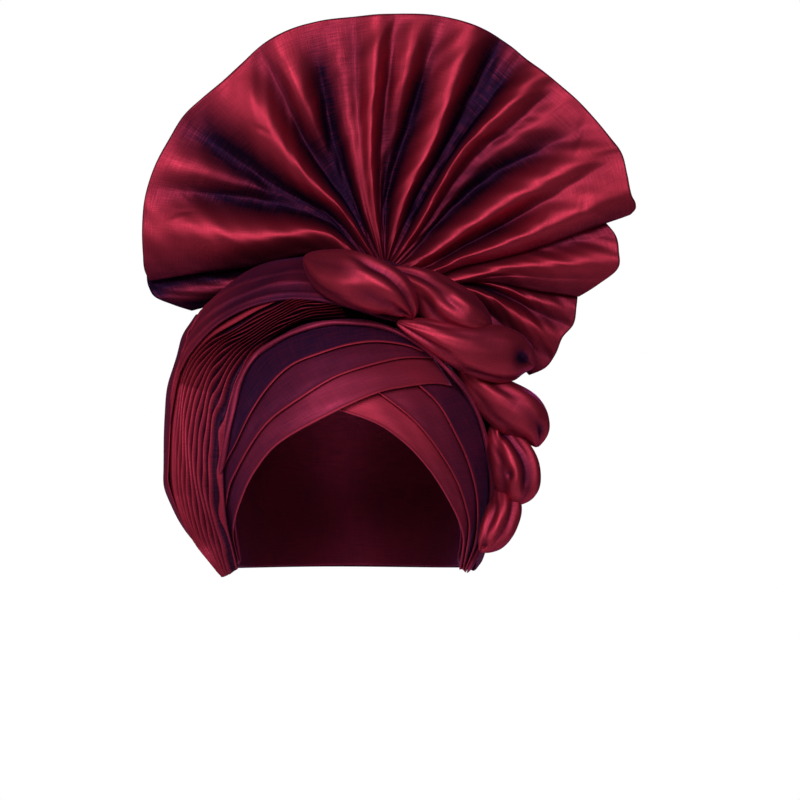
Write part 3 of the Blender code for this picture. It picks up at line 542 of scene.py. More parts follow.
# How deep the folds are along the cloth, and where the heights and angles of a fold line lie; the near
# height and the near angle hold over the first two places
FOLD_DEPTH_ALONG = [(0.0, 0.20), (0.06, 0.34), (0.15, 0.56), (0.32, 0.86), (0.5, 1.0), (0.75, 1.0),
                    (1.0, 0.92)]
HEIGHT_PLACES = [0.0, 0.15, 0.45, 0.72, 0.88, 1.0]
ANGLE_PLACES = [0.0, 0.18, 0.48, 0.80, 1.0]
FOLD_DEPTH = 0.0070
END_DEPTH = 0.0055
BROAD_RIDGES = 0.2
CLOTH_PER_FOLD = 3.0
RIM_ROLL = 0.0045
END_ROLL = 0.003
FAN_LEAN = 0.05
FAN_WAVE = 0.0004
FAN_WAVES = [(1.0, 1.0, 0.3, 0.5), (2.3, -1.7, 1.1, 0.4), (-3.1, 2.9, 2.0, 0.3)]
# Painted shade in the fan's valleys and painted light on its ridges: the dark share falls as the cloth rises
# in its fold.
FOLD_PAINTED_SHADE = 0.75

# Foot of the fan, and the wall and edges of its cloth
FAN_FOOT_WIDTH = 0.026
FAN_WAIST = 0.1108
FOOT_TUCK = 0.0022
FOOT_TUCKS = 9
FOOT_BEND = 0.006
FOOT_SHOT = 0.7
FOOT_WALL = 0.0009
ADDED_WALL = 0.0016
THINNEST = 0.00006
SEAT_GAP = 0.0004
BEHIND_FAN = 0.0062
BEHIND_END = 0.006
PLEAT_START = 0.10
RIM_START = 0.955
RIM_CLOSING = 0.007
RIM_STEPS = np.array([0.86, 0.72, 0.58, 0.45, 0.33, 0.22, 0.13, 0.06, 0.02, 0.0])

# Short creases in the fan: reach in shares of FAN_RADIUS, angle, half length and half width in millimetres,
# slant from the pleat in degrees, depth in millimetres
Crease = namedtuple("Crease", "reach angle length width slant depth")
FAN_CREASES = [
    (0.93, 33.5, 9.0, 1.8, 35, -0.6), (0.92, 31.0, 7.0, 1.8, 40, 0.5), (0.84, 17.5, 8.0, 1.6, 62, -0.5),
    (0.80, 16.0, 7.0, 1.8, 60, 0.4), (0.70, 46.5, 5.0, 1.3, -35, -0.4), (0.76, 45.8, 5.5, 1.3, -38, -0.45),
    (0.83, 44.5, 6.0, 1.4, -42, -0.4), (0.66, 48.0, 4.0, 1.3, -35, -0.3), (0.83, 166.0, 5.0, 1.3, 20, -0.3),
    (0.85, 161.0, 5.0, 1.4, -25, -0.35), (0.86, 168.5, 4.0, 1.3, 35, 0.3), (0.72, 133.0, 6.0, 1.5, 20, -0.35),
    (0.80, 119.5, 5.0, 1.5, -30, -0.3), (0.66, 14.5, 6.0, 1.6, 50, 0.35), (0.74, 30.0, 7.0, 1.8, 30, -0.3),
    (0.88, 80.0, 6.0, 1.8, 20, -0.3),
]

# The fan and the three ends of its cloth behind it; foot is its span in shares of half the foot's width
PleatedCloth = namedtuple("PleatedCloth", "name node lines reach gather creases setback depth rim_roll foot"
                                          " columns shot flat area")
BEHIND = WRAP_SETBACK + BEHIND_FAN
FAN_CLOTHS = [
    PleatedCloth("pleated_fan", "fan", FAN_LINES, FAN_REACH, FAN_GATHER, FAN_CREASES, WRAP_SETBACK,
                 FOLD_DEPTH, RIM_ROLL, (-1.0, 1.0), 400, 0.48, (0.50, 0.17), 0.052),
    PleatedCloth("fan_end_left", "fan_lobe_left", LEFT_END_LINES, LEFT_END_REACH, LEFT_END_GATHER, [],
                 BEHIND + BEHIND_END, END_DEPTH, END_ROLL, (-1.0, -0.08), 120, 1.15, (0.045, 0.155), None),
    PleatedCloth("fan_end_right_upper", "fan_lobe_right_upper", UPPER_END_LINES, UPPER_END_REACH,
                 UPPER_END_GATHER, [], BEHIND, END_DEPTH, END_ROLL, (0.08, 1.0), 120, 0.5, (0.048, 0.155),
                 None),
    PleatedCloth("fan_end_right_lower", "fan_lobe_right_lower", LOWER_END_LINES, LOWER_END_REACH,
                 LOWER_END_GATHER, [], BEHIND + BEHIND_END, END_DEPTH, END_ROLL, (0.0, 0.7), 120, 0.6,
                 (0.055, 0.14), None),
]


def line_marks(lines):
    """Where each fold line lies across the cloth, as a share of its width."""
    steps = [0.0]
    for before, after in zip(lines, lines[1:]):
        rise = abs(before.h_middle - after.h_middle) + abs(before.h_near - after.h_near)
        steps.append(steps[-1] + abs(before.rim - after.rim) + CLOTH_PER_FOLD * rise)
    return np.array(steps) / steps[-1]


def fold_heights(lines, across, along):
    """Height of the cloth, in shares of the fold depth, with ridges a little broader than valleys."""
    marks = line_marks(lines)
    at_lines = np.stack([flow(HEIGHT_PLACES, [line.h_near, *line[3:]], along) for line in lines])
    cell = np.clip(np.searchsorted(marks, across, side="right") - 1, 0, len(lines) - 2)
    share = (across - marks[cell]) / (marks[cell + 1] - marks[cell])
    start, end = at_lines[cell].T, at_lines[cell + 1].T
    broad = np.where(end > start, 1 - (1 - share) ** 2, share ** 2)
    rounded = BROAD_RIDGES * broad + (1 - BROAD_RIDGES) * (1 - np.cos(np.pi * share)) / 2
    return start + (end - start) * rounded


def fold_angles(lines, across, along):
    """Angle of each column at each place along it, in degrees."""
    at_lines = np.stack([flow(ANGLE_PLACES, [line.near, line.near, line.middle,
                                             (line.middle + 3 * line.rim) / 4, line.rim], along)
                         for line in lines])
    return np.stack([np.interp(across, line_marks(lines), at_lines[:, k]) for k in range(len(along))])


def crease_relief(x, z, creases):
    """The small heights that the short creases add."""
    height = 0.0 * x
    for crease in creases:
        turn = math.radians(crease.angle)
        slant = turn + math.radians(crease.slant)
        dx = x - (FAN_ACROSS + crease.reach * FAN_RADIUS * math.cos(turn))
        dz = z - (FAN_HEIGHT + crease.reach * FAN_RADIUS * math.sin(turn))
        run = dx * math.cos(slant) + dz * math.sin(slant)
        off = dz * math.cos(slant) - dx * math.sin(slant)
        height += crease.depth * MM * bump(run, 0, crease.length * MM) * bump(off, 0, crease.width * MM)
    return height


def pleat_surface(cloth, across, along):
    """The pleats from the gather to the rim, and how high each point is in its fold."""
    lines = [FoldLine(*row) for row in cloth.lines]
    angle = np.radians(fold_angles(lines, across, along))
    radius = along[:, None] * FAN_RADIUS * read_table(cloth.reach, np.degrees(angle[-1]))[None, :]
    start = read_table(cloth.gather, across) * MM
    fade = (1 - ease(along, 0.0, GATHER_REACH))[:, None]
    x = FAN_ACROSS + start[None, :, 0] * fade + radius * np.cos(angle)
    z = FAN_HEIGHT + start[None, :, 1] * fade + radius * np.sin(angle)
    deep = cloth.depth * read_table(FOLD_DEPTH_ALONG, along)
    height = (fold_heights(lines, across, along) * deep[:, None]
              + FAN_WAVE * ripple(across[None, :] * len(lines) / 3, along[:, None] * 3, FAN_WAVES)
              + crease_relief(x, z, [Crease(*row) for row in cloth.creases]))
    roll = cloth.rim_roll * ease(along, 0.78, 1.02)[:, None]
    y = cloth.setback - height + FAN_LEAN * np.maximum(z - FAN_HEIGHT, 0) + roll
    return np.stack([x, y, z], axis=-1), height


def fan_foot(cloth, across, gather, gather_next):
    """The foot that stands on the head, and the bend from it into the gather."""
    foot_x = FAN_ACROSS + FAN_FOOT_WIDTH / 2 * (cloth.foot[0] + (cloth.foot[1] - cloth.foot[0]) * across)
    back = np.full(len(across), cloth.setback)
    seat = np.stack([foot_x, back, cap_top(foot_x, cloth.setback, CAP_WALL) + SEAT_GAP], axis=-1)
    waist = np.stack([foot_x, back, np.full(len(across), FAN_WAIST)], axis=-1)
    tucks = FOOT_TUCK * np.cos(2 * np.pi * across * FOOT_TUCKS)
    rise = np.linspace(0, 1, 8)[:-1, None, None]
    lower = seat + (waist - seat) * rise
    lower[..., 1] += tucks[None, :] * (0.25 + 0.75 * rise[..., 0])
    t = np.linspace(0, 1, 9)[:-1, None, None]
    waist[:, 1] += tucks
    leaving = waist + np.array([0, 0, FOOT_BEND])
    arriving = gather - unit(gather_next - gather) * FOOT_BEND
    bend = ((1 - t) ** 3 * waist + 3 * t * (1 - t) ** 2 * leaving + 3 * t * t * (1 - t) * arriving
            + t ** 3 * gather)
    return np.concatenate([lower, bend])


def pleated_sheet(cloth):
    """A pleated double cloth: a foot on the head, a gather, and pleats that run out to a rolled rim."""
    across = np.linspace(0, 1, cloth.columns)
    along = np.concatenate([np.linspace(0, PLEAT_START, 12, endpoint=False),
                            np.linspace(PLEAT_START, RIM_START, 84), 1 - (1 - RIM_START) * RIM_STEPS])
    upper, height = pleat_surface(cloth, across, along)
    foot = fan_foot(cloth, across, upper[0], upper[1])
    sheet = np.concatenate([foot, upper])
    wall = FOOT_WALL + ADDED_WALL * np.append(np.zeros(len(foot)), ease(along, 0.05, 0.5))
    closing = np.sqrt(1 - np.clip((along - (1 - RIM_CLOSING)) / RIM_CLOSING, 0, 1) ** 2)
    ends = np.maximum(np.append(np.ones(len(foot)), closing), 0.04)
    thick = np.maximum((wall * ends)[:, None] * edge_round(across, 4.0 / cloth.columns)[None, :], THINNEST)
    shift = thick[..., None] / 2 * np.array([0, 1, 0])
    v = np.append(0, np.cumsum(steps_along(sheet).mean(axis=1)))[:, None] + 0 * across[None, :]
    width = np.linalg.norm(np.diff(sheet[-20], axis=0), axis=-1).sum()
    # The foot gets one dark share; the pleats get painted shade in their valleys and painted light on their
    # ridges.
    shot = np.concatenate([np.full((len(foot), cloth.columns), FOOT_SHOT),
                           cloth.shot - FOLD_PAINTED_SHADE * height / cloth.depth])
    return closed_cloth(cloth.name, sheet - shift, sheet + shift, (width * across[None, :] + 0 * v, v), shot)


def make_fan():
    for cloth in FAN_CLOTHS:
        finish_piece(pleated_sheet(cloth), "taffeta_fan", [cloth.node])


# Rope lobes, each along its own length: across is a share of FAN_RADIUS, up of WRAP_RISE, out towards the
# brow of WRAP_FRONT, and width and depth are half sizes in shares of TWIST_WIDTH
LobeSection = namedtuple("LobeSection", "across up width depth out")
ROPE_LOBES = [
    [(-0.167, 0.970, 0.20, 0.20, 0.55), (-0.073, 0.908, 0.44, 0.34, 0.73), (0.013, 0.870, 0.52, 0.42, 0.84),
     (0.127, 0.824, 0.51, 0.43, 0.87), (0.193, 0.786, 0.43, 0.41, 0.86), (0.247, 0.725, 0.28, 0.28, 0.84),
     (0.262, 0.685, 0.14, 0.14, 0.82)],
    [(0.150, 0.900, 0.20, 0.20, 0.59), (0.300, 0.825, 0.38, 0.34, 0.65), (0.387, 0.750, 0.48, 0.41, 0.72),
     (0.467, 0.700, 0.44, 0.39, 0.73), (0.535, 0.665, 0.30, 0.29, 0.69), (0.575, 0.640, 0.14, 0.14, 0.65)],
    [(0.200, 0.672, 0.15, 0.15, 0.79), (0.300, 0.633, 0.26, 0.24, 0.79), (0.400, 0.588, 0.38, 0.34, 0.77),
     (0.500, 0.550, 0.49, 0.41, 0.71), (0.613, 0.527, 0.54, 0.43, 0.61), (0.700, 0.500, 0.44, 0.38, 0.53),
     (0.745, 0.475, 0.22, 0.20, 0.49)],
    [(0.440, 0.495, 0.16, 0.16, 0.55), (0.545, 0.366, 0.35, 0.32, 0.49), (0.620, 0.305, 0.46, 0.41, 0.455),
     (0.692, 0.252, 0.48, 0.43, 0.425), (0.740, 0.183, 0.38, 0.36, 0.405), (0.756, 0.107, 0.18, 0.18, 0.395)],
    [(0.580, 0.214, 0.17, 0.17, 0.385), (0.618, 0.130, 0.36, 0.30, 0.395), (0.658, 0.046, 0.46, 0.39, 0.395),
     (0.674, -0.023, 0.47, 0.41, 0.395), (0.670, -0.092, 0.41, 0.36, 0.395),
     (0.652, -0.160, 0.20, 0.20, 0.395)],
    [(0.612, -0.060, 0.17, 0.17, 0.365), (0.628, -0.150, 0.32, 0.28, 0.395),
     (0.610, -0.230, 0.35, 0.30, 0.425), (0.577, -0.300, 0.30, 0.27, 0.445),
     (0.530, -0.367, 0.14, 0.14, 0.475)],
]

# Hollows where a lobe's cloth is tucked in: side and share along it, half width and half length, in
# millimetres of depth
LobeHollow = namedtuple("LobeHollow", "side share width length depth")
LOBE_HOLLOWS = [
    [(0.86, 0.93, 0.040, 0.040, -2.5)], [], [(0.73, 0.90, 0.062, 0.050, -6.0)],
    [(0.66, 0.88, 0.040, 0.050, -3.0)],
    [(0.72, 0.16, 0.040, 0.060, -3.0), (0.80, 0.62, 0.030, 0.080, -2.2)], [(0.76, 0.90, 0.045, 0.050, -2.5)],
]

# Folds along a lobe: side at its middle and drift from there to its ends, half width, depth in millimetres
LobeFold = namedtuple("LobeFold", "side drift width depth start end")
LOBE_FOLDS = [
    [(0.62, 0.10, 0.035, -1.8, 0.45, 1.0), (0.80, 0.06, 0.04, -1.4, 0.55, 1.0),
     (0.92, -0.04, 0.05, -1.2, 0.0, 0.5), (0.70, -0.05, 0.05, -0.8, 0.1, 0.6)],
    [(0.70, 0.08, 0.035, -1.5, 0.0, 0.7), (0.84, 0.05, 0.04, -1.6, 0.4, 1.0),
     (0.60, -0.02, 0.05, -0.9, 0.3, 1.0)],
    [(0.86, 0.03, 0.035, -1.2, 0.0, 0.45), (0.66, 0.05, 0.06, -0.8, 0.2, 0.7),
     (0.92, 0.04, 0.04, -1.3, 0.5, 1.0)],
    [(0.66, 0.04, 0.04, -1.2, 0.0, 0.6), (0.86, 0.06, 0.05, -1.1, 0.3, 1.0),
     (0.75, -0.04, 0.06, -0.7, 0.5, 1.0)],
    [(0.68, 0.02, 0.035, -3.2, 0.0, 0.8), (0.62, 0.03, 0.03, -1.8, 0.1, 0.9),
     (0.84, 0.03, 0.04, -1.2, 0.3, 1.0)],
    [(0.68, 0.03, 0.04, -1.4, 0.1, 0.8), (0.84, -0.03, 0.04, -1.0, 0.2, 1.0)],
]
FOLD_FADE = 0.12
SHOULDER_GAP = 2.1
SHOULDER = 0.35
ROPE_WAVE = 0.0002
ROPE_SHOT = 0.12
ROPE_PAINTED_SHADE_PER_METRE = 260


def lobe_relief(number, side, share):
    """The folds, hollows and faint ripple of a lobe, in metres out from its section."""
    grow = np.zeros((len(share), len(side)))
    for fold in (LobeFold(*row) for row in LOBE_FOLDS[number]):
        middle = fold.side + fold.drift * (2 * share[:, None] - 1)
        gap = np.abs((side[None, :] - middle + 0.5) % 1.0 - 0.5)
        begun = ease(share, fold.start - FOLD_FADE, fold.start + FOLD_FADE)
        window = begun * (1 - ease(share, fold.end - FOLD_FADE, fold.end + FOLD_FADE))
        crease = bump(gap, 0, fold.width) - SHOULDER * bump(gap, SHOULDER_GAP * fold.width, fold.width)
        grow += fold.depth * MM * crease * window[:, None]
    for hollow in (LobeHollow(*row) for row in LOBE_HOLLOWS[number]):
        grow += (hollow.depth * MM * bump(side, hollow.side, hollow.width)[None, :]
                 * bump(share, hollow.share, hollow.length)[:, None])
    waves = [(5, 1.0, 0.4 + number, 0.6), (9, -1.6, 1.3 * number, 0.5), (14, 2.2, 2.0, 0.35)]
    return grow + ROPE_WAVE * ripple(side[None, :], share[:, None], waves)


def make_rope():
    """Soft lobes of rolled cloth, with folds that run along them and draw together at their ends."""
    sides, rows = 104, 92
    turn = np.linspace(0, 2 * np.pi, sides, endpoint=False)
    share = np.linspace(0, 1, rows)
    full = np.sqrt(np.clip(1 - np.abs(2 * share - 1) ** 6, 0.02, 1))[:, None]
    for number, table in enumerate(ROPE_LOBES):
        sections = [LobeSection(*row) for row in table]
        line = smooth_line([(s.across * FAN_RADIUS, -s.out * WRAP_FRONT, s.up * WRAP_RISE,
                             s.width * TWIST_WIDTH, s.depth * TWIST_WIDTH) for s in sections], rows)
        path, size = line[:, :3], line[:, 3:]
        along = np.gradient(path, axis=0)
        across = unit(np.stack([along[:, 2], 0 * along[:, 0], -along[:, 0]], axis=-1))
        grow = lobe_relief(number, turn / (2 * np.pi), share)
        wide = (size[:, :1] * full + grow) * np.cos(turn)
        deep = (size[:, 1:] * full + grow) * np.sin(turn)
        rings = path[:, None] + across[:, None] * wide[..., None] + np.array([0, 1, 0]) * deep[..., None]
        length, girth = steps_along(path).sum(), 2 * np.pi * size.mean()
        # Painted shade in the lobes' folds and hollows and painted light on their shoulders: the dark share
        # follows the depth of the relief.
        shot = ROPE_SHOT - ROPE_PAINTED_SHADE_PER_METRE * grow
        lobe = closed_tube(f"rope_lobe_{number + 1}", rings, (girth, length), shot)
        finish_piece(lobe, "taffeta_twist", [f"twist_{number + 1}"])


# Brow layers: folded edges in millimetres of the front view
LEFT_EDGES = [
    [(-63.5, -56), (-67, -36), (-61, -15), (-52, 2), (-37, 18), (-4, 36), (19, 46), (35, 49.5), (52, 51.5),
     (63, 50)],
    [(-70, -50), (-72, -30), (-69.5, -12), (-65, -1), (-54, 18), (-43, 31), (-26, 43), (-10, 53), (1.5, 58),
     (18, 63), (35, 66.5), (52, 66.5)],
    [(-74, -46), (-76, -22), (-73, 0), (-65, 16), (-56, 34), (-45, 50), (-32, 62), (-15, 69), (1.5, 74),
     (18, 76), (35, 74), (46, 70)],
    [(-77, -42), (-77.5, -13), (-71, 12), (-67, 29), (-62, 52), (-54, 66), (-43, 74), (-29, 81), (-14, 85),
     (1.5, 86), (18, 84.5), (35, 78.5), (46, 72.5)],
]
RIGHT_EDGES = [
    [(-13, 40), (-4, 36), (18, 28), (35, 16), (49, 0.6), (59, -15), (66, -29), (69, -41), (67, -59)],
    [(8, 54), (19, 46), (35, 34), (46, 23), (57, 8), (65, -6), (70, -20), (72.5, -35), (69, -59)],
    [(28, 62), (43, 50), (55, 38), (65, 20), (71, 7), (76, -10), (77.5, -26), (76, -43), (70, -60)],
    [(46, 71), (61, 58), (71, 45), (78.5, 27), (83, 7), (85, -13), (84, -31), (79, -45), (71, -61)],
]
ROLL_LINE = [(-75.5, -4), (-72, 12), (-68.5, 30), (-63, 53), (-55, 67.5), (-43, 76), (-29, 83), (-14, 87),
             (1.5, 87.8), (18, 86.3), (35, 80), (49, 71), (61, 59), (72, 45.5), (80.5, 27), (85, 7),
             (86.5, -13), (84.5, -31), (80, -45), (72, -60.5)]

# Each side's folded edges; how far each of its layers goes towards the violet crossing thread from its start
# to its end, which also paints shade that darkens the upper layers; and the flat size of a layer
BrowSide = namedtuple("BrowSide", "name edges shot flat")
BROW_SIDES = [BrowSide("left", LEFT_EDGES, [(0.85, 0.20), (0.85, 0.60), (1.0, 0.90)], (0.17, 0.027)),
              BrowSide("right", RIGHT_EDGES, [(-0.3, 0.65), (0.30, 0.90), (0.7, 1.0)], (0.145, 0.027))]
BEAD_HEIGHT = 0.0005
ROLL_LIFT = 0.0012
ROLL_HALF_WIDTH = 0.0021
ROLL_HALF_DEPTH = 0.0016
ROLL_SINK = 0.0008
ROLL_GIRTH = 0.012
ROLL_TWIST = 0.00018
BAND_WAVE = 0.00022
EDGE_CLOSING = 0.0007


def fold_out(order, x):
    """How far the inside of a layer lies out from the head; the layers are fuller over the ear."""
    fuller = EAR_FULLNESS * ease(x / HEAD_HALF_BREADTH, EAR_START, 1.0)
    return CAP_WALL + FOLD_GAP + order * (FOLD_WALL + FOLD_GAP) + fuller


def left_order(order, x):
    """The left layers cross over the three right ones, and lie on the head at the pleated side."""
    return order + 3 * ease(x / HEAD_HALF_BREADTH, LEFT_CROSS_START, LEFT_CROSS_END)


def roll_order(x):
    """The rolled edge lies on the left layers, and on the third right layer over the ear."""
    over_ear = ease(x / HEAD_HALF_BREADTH, 0.8, 1.0)
    return left_order(3, x) * (1 - over_ear) + 3 * over_ear


def brow_band(side, number, low, high):
    """A layer with a round folded lower edge, from its own edge up under the next layer."""
    stations, rows = len(low), 26
    share = np.linspace(0, 1, stations)[None, :]
    reach = 1.0 if number == 2 else 1.0 + EDGE_OVERLAP
    climb = (reach * np.linspace(0, 1, rows) ** 1.7)[:, None]
    x, z = np.moveaxis(low + (high - low) * climb[..., None], -1, 0)
    run = climb * np.linalg.norm(high - low, axis=-1)
    order = left_order(number, x) if side.name == "left" else np.full_like(x, number)
    waves = [(3, 1.2, number, 0.7), (7, -0.8, 2.0 * number, 0.5)]
    lift = (BEAD_HEIGHT * bump(run, 0.0008, 0.0007)
            + BAND_WAVE * ripple(share, climb, waves) * ease(run, 0.001, 0.006))
    closing = np.sqrt(1 - (1 - np.minimum(run / EDGE_CLOSING, 1.0)) ** 2)
    ends = edge_round(share, 0.012)
    last = edge_round(np.linspace(0, 1, rows), 0.03)[:, None]
    wall = FOLD_WALL * np.maximum(closing * ends * last, 0.06)
    base = fold_out(order, x) + (FOLD_WALL - wall) / 2
    start, end = side.shot[number]
    # Painted highlight along the folded lower edge: the dark share falls to nothing within about a millimetre
    # of the edge.
    shot = (start + (end - start) * share) * ease(run, 0.0009, 0.0017)
    return closed_cloth(f"brow_band_{side.name}_{number + 1}", on_head(x, z, base + wall + lift * ends),
                        on_head(x, z, base), (share * steps_along(low).sum() + 0 * run, run), shot)


def make_brow_layers():
    for side in BROW_SIDES:
        edges = [front_line(edge, 170) for edge in side.edges]
        for number, (low, high) in enumerate(zip(edges, edges[1:])):
            finish_piece(brow_band(side, number, low, high), "taffeta_brow",
                         [f"brow_fold_{side.name}_{number + 1}"])


def make_rolled_edge():
    """A thin roll of cloth above the brow layers, with its upper side tucked under the pleats."""
    stations, sides = 260, 18
    x, z = front_line(ROLL_LINE, stations).T
    centre = on_head(x, z, fold_out(roll_order(x), x) + ROLL_LIFT)
    along = unit(np.gradient(centre, axis=0))
    away = np.stack([centre[:, 0] / HEAD_HALF_BREADTH**2, centre[:, 1] / HEAD_HALF_LENGTH**2,
                     np.maximum(centre[:, 2], 0) / CROWN_RISE**2], axis=-1)
    across = unit(np.cross(along, away))
    away = np.cross(across, along)
    share = np.linspace(0, 1, stations)[:, None]
    turn = np.linspace(0, 2 * np.pi, sides, endpoint=False)
    taper = np.sqrt(np.clip(1 - np.abs(2 * share - 1) ** 30, 0.05, 1))
    twist = ROLL_TWIST * np.cos(2 * turn + share * 60)
    tucked = np.maximum(-np.cos(turn), 0) ** 2
    half_width = (ROLL_HALF_WIDTH + twist) * taper * (1 + 1.7 * tucked)
    half_depth = (ROLL_HALF_DEPTH + twist) * taper * (1 - 0.6 * tucked)
    rings = (centre[:, None] + across[:, None] * (half_width * np.cos(turn))[..., None]
             + away[:, None] * (half_depth * np.sin(turn) - ROLL_SINK * tucked)[..., None])
    length = steps_along(centre).sum()
    roll = closed_tube("rolled_edge", rings, (ROLL_GIRTH, length), 0.45)
    finish_piece(roll, "taffeta_brow", ["brow_roll"])


# Side pleats, top to bottom: inner and outer end of each rung, in millimetres of the front view
INNER_RUNGS = [(0.0, 92.0), (-15.4, 91.0), (-30.0, 88.0), (-44.0, 80.0), (-55.4, 69.6), (-64.7, 55.7),
               (-70.8, 40.0), (-74.3, 20.0), (-75.0, -1.7), (-74.3, -17.4), (-72.4, -33.0), (-69.3, -46.0),
               (-65.8, -59.2)]
OUTER_RUNGS = [(-17.0, 109.0), (-34.0, 107.0), (-50.5, 101.5), (-65.5, 94.0), (-79.8, 85.0), (-91.4, 74.0),
               (-98.5, 61.6), (-104.0, 40.6), (-106.5, 15.7), (-105.5, -5.2), (-99.5, -25.0), (-87.4, -43.2),
               (-68.7, -57.0)]
NARROW_PLEATS = 10
PLEAT_HEIGHT = 0.0040
WIDE_HEIGHT = 0.0030
PLEAT_BULGE = 0.0055
PLEAT_TUCK = 0.0015
PLEAT_WALL = 0.0009
PLEAT_GAP = 0.0015
PLEAT_LENGTH = 0.21
FULL_RUNG = 0.024
PLEAT_WAVES = [(0.8, 2.3, 0.5, 0.5), (1.9, 4.1, 1.7, 0.35), (3.1, 7.3, 2.9, 0.25)]


def ridged(across):
    """Narrow ridges with sharp crests."""
    wave = (1 + np.cos(2 * np.pi * (across * NARROW_PLEATS - 0.25))) / 2
    return wave ** 1.8


def wide(across):
    """One broad pleat that turns down at both sides."""
    return flow([0, 0.15, 0.4, 0.7, 0.85, 1.0], [-0.6, 0.75, 1.0, 0.75, 0.2, -0.8], across)


def pleat_band(name, start, end, profile, columns, lift_by, wander):
    """A band of the side pleats from start to end of each rung, raised by its profile."""
    stations = 170
    x, z = front_line(INNER_RUNGS, stations).T
    low = on_head(x, z, fold_out(roll_order(x), x) + PLEAT_GAP)
    high = on_wrap(*front_line(OUTER_RUNGS, stations).T, -(WRAP_WALL + PLEAT_GAP + PLEAT_WALL))
    rung = high - low
    across = np.linspace(0, 1, columns)
    down = np.linspace(0, 1, stations)[:, None]
    share = start + (end - start) * across
    away = unit(np.cross(rung, np.gradient(low + high, axis=0)))
    away *= np.where(away[:, 1] > 0, -1, 1)[:, None]
    room = np.minimum(np.linalg.norm(rung, axis=-1) / FULL_RUNG, 1.0)[:, None]
    moved = across + wander * ripple(across, down, PLEAT_WAVES) * ease(across * (1 - across), 0.0, 0.06)
    tuck = PLEAT_TUCK * (1 - ease(share, -0.03, 0.03))
    bulge = PLEAT_BULGE * np.sin(np.pi * np.maximum(share, 0)) - tuck
    lift = bulge + profile(moved) * lift_by * room * ease(share, -0.03, 0.04)
    point = low[:, None] + rung[:, None] * share[None, :, None] + away[:, None] * lift[..., None]
    edges = edge_round(across, 2.5 / columns) * edge_round(down, 0.01)
    thick = PLEAT_WALL * np.maximum(edges, 0.08)
    u = steps_along(point[stations // 2]).sum() * across + 0 * lift
    # Painted shade in the gaps between the ridges and painted light on their crests; the dark share also
    # grows towards the inner edge.
    shot = 0.95 + 0.50 * np.minimum(1 - share, 1) ** 1.5 - 1.15 * profile(moved)
    return closed_cloth(name, point, point - away[:, None] * thick[..., None],
                        (u, PLEAT_LENGTH * down + 0 * lift), shot)


def make_side_pleats():
    narrow = pleat_band("ridged_pleats", -0.03, 0.74, ridged, 210, PLEAT_HEIGHT, 0.045)
    finish_piece(narrow, "taffeta_pleats", ["side_pleats"])
    broad = pleat_band("wide_pleat", 0.755, 0.985, wide, 50, WIDE_HEIGHT, 0.0)
    finish_piece(broad, "taffeta_pleats", ["side_pleat_wide"])


# Cover cloth: lower edges by turn from the brow, in degrees, as shares of WRAP_RISE
FRONT_EDGE = [(-80, 0.14), (-75, 0.18), (-73, 0.37), (-69, 0.48), (-63, 0.56), (-54, 0.65),
              (-43, 0.718), (-32, 0.762), (-21, 0.782), (-6, 0.772), (7, 0.742), (22, 0.69), (38, 0.64),
              (51, 0.56), (61, 0.44), (68, 0.30), (74, 0.16), (80, 0.12)]
BACK_EDGE = [(-286, -0.39), (-277, -0.44), (-245, -0.455), (-180, -0.46), (-112, -0.455), (-90, -0.44),
             (-75, -0.425)]
LIP_SHARE = 0.14
LIP_DEPTH = 0.016
LIP_REACH_FRONT = 0.011
LIP_REACH_BACK = 0.006
PLEATED_END = -75
COVER_SHOT = 0.74
COVER_PAINTED_SHADE_PER_METRE = 180
COVER_WAVE = 0.0005
COVER_WAVES = [(2.0, 1.3, 0.4, 0.6), (4.1, -2.2, 1.9, 0.5), (1.2, 3.4, 0.9, 0.5)]

# Soft folds of the back: level, slope along the cloth, half width, height in millimetres
CoverFold = namedtuple("CoverFold", "level slope width height")
COVER_FOLDS = [(0.10, 0.55, 0.030, 1.1), (0.27, 0.62, 0.040, 0.9), (0.42, 0.50, 0.035, 1.2),
               (0.58, 0.45, 0.045, 0.9), (0.74, 0.40, 0.035, 1.0), (0.88, 0.35, 0.040, 0.8)]
FRONT_TURNS = (0.07, 0.19, 0.34)
TURN_HEIGHT = 0.0011

CoverCloth = namedtuple("CoverCloth", "name node turns edge columns rows side_fine up_fine flat")
COVERS = [
    CoverCloth("cover_front", "wrap_front", (-74.7, 73.7), FRONT_EDGE, 130, 48, 0.012, 0.02, (0.19, 0.075)),
    CoverCloth("cover_back", "wrap_back", (-286, -75), BACK_EDGE, 200, 92, 0.006, 0.012, (0.34, 0.19)),
]


def slot_share(turn):
    """1 along the long sides of the slot and 0 round its ends."""
    return ease(np.abs(np.cos(np.radians(turn))), 0.24, 0.55)


def back_folds(across, up, level):
    lift = 0.0 * level
    for fold in (CoverFold(*row) for row in COVER_FOLDS):
        line = fold.level + fold.slope * 0.35 * (across - 0.5)
        lift += fold.height * MM * bump(level, line, fold.width)
    return lift * ease(up * (1 - up), 0.0, 0.05)


def front_turns(turn, level):
    """Flat layers at the pleated side, each ending in a low step."""
    lift = 0.0 * level
    for mark in FRONT_TURNS:
        step = ease(level, mark - 0.05, mark) - ease(level, mark, mark + 0.012)
        lift += TURN_HEIGHT * step * ease(-turn, -10, 30)
    return lift


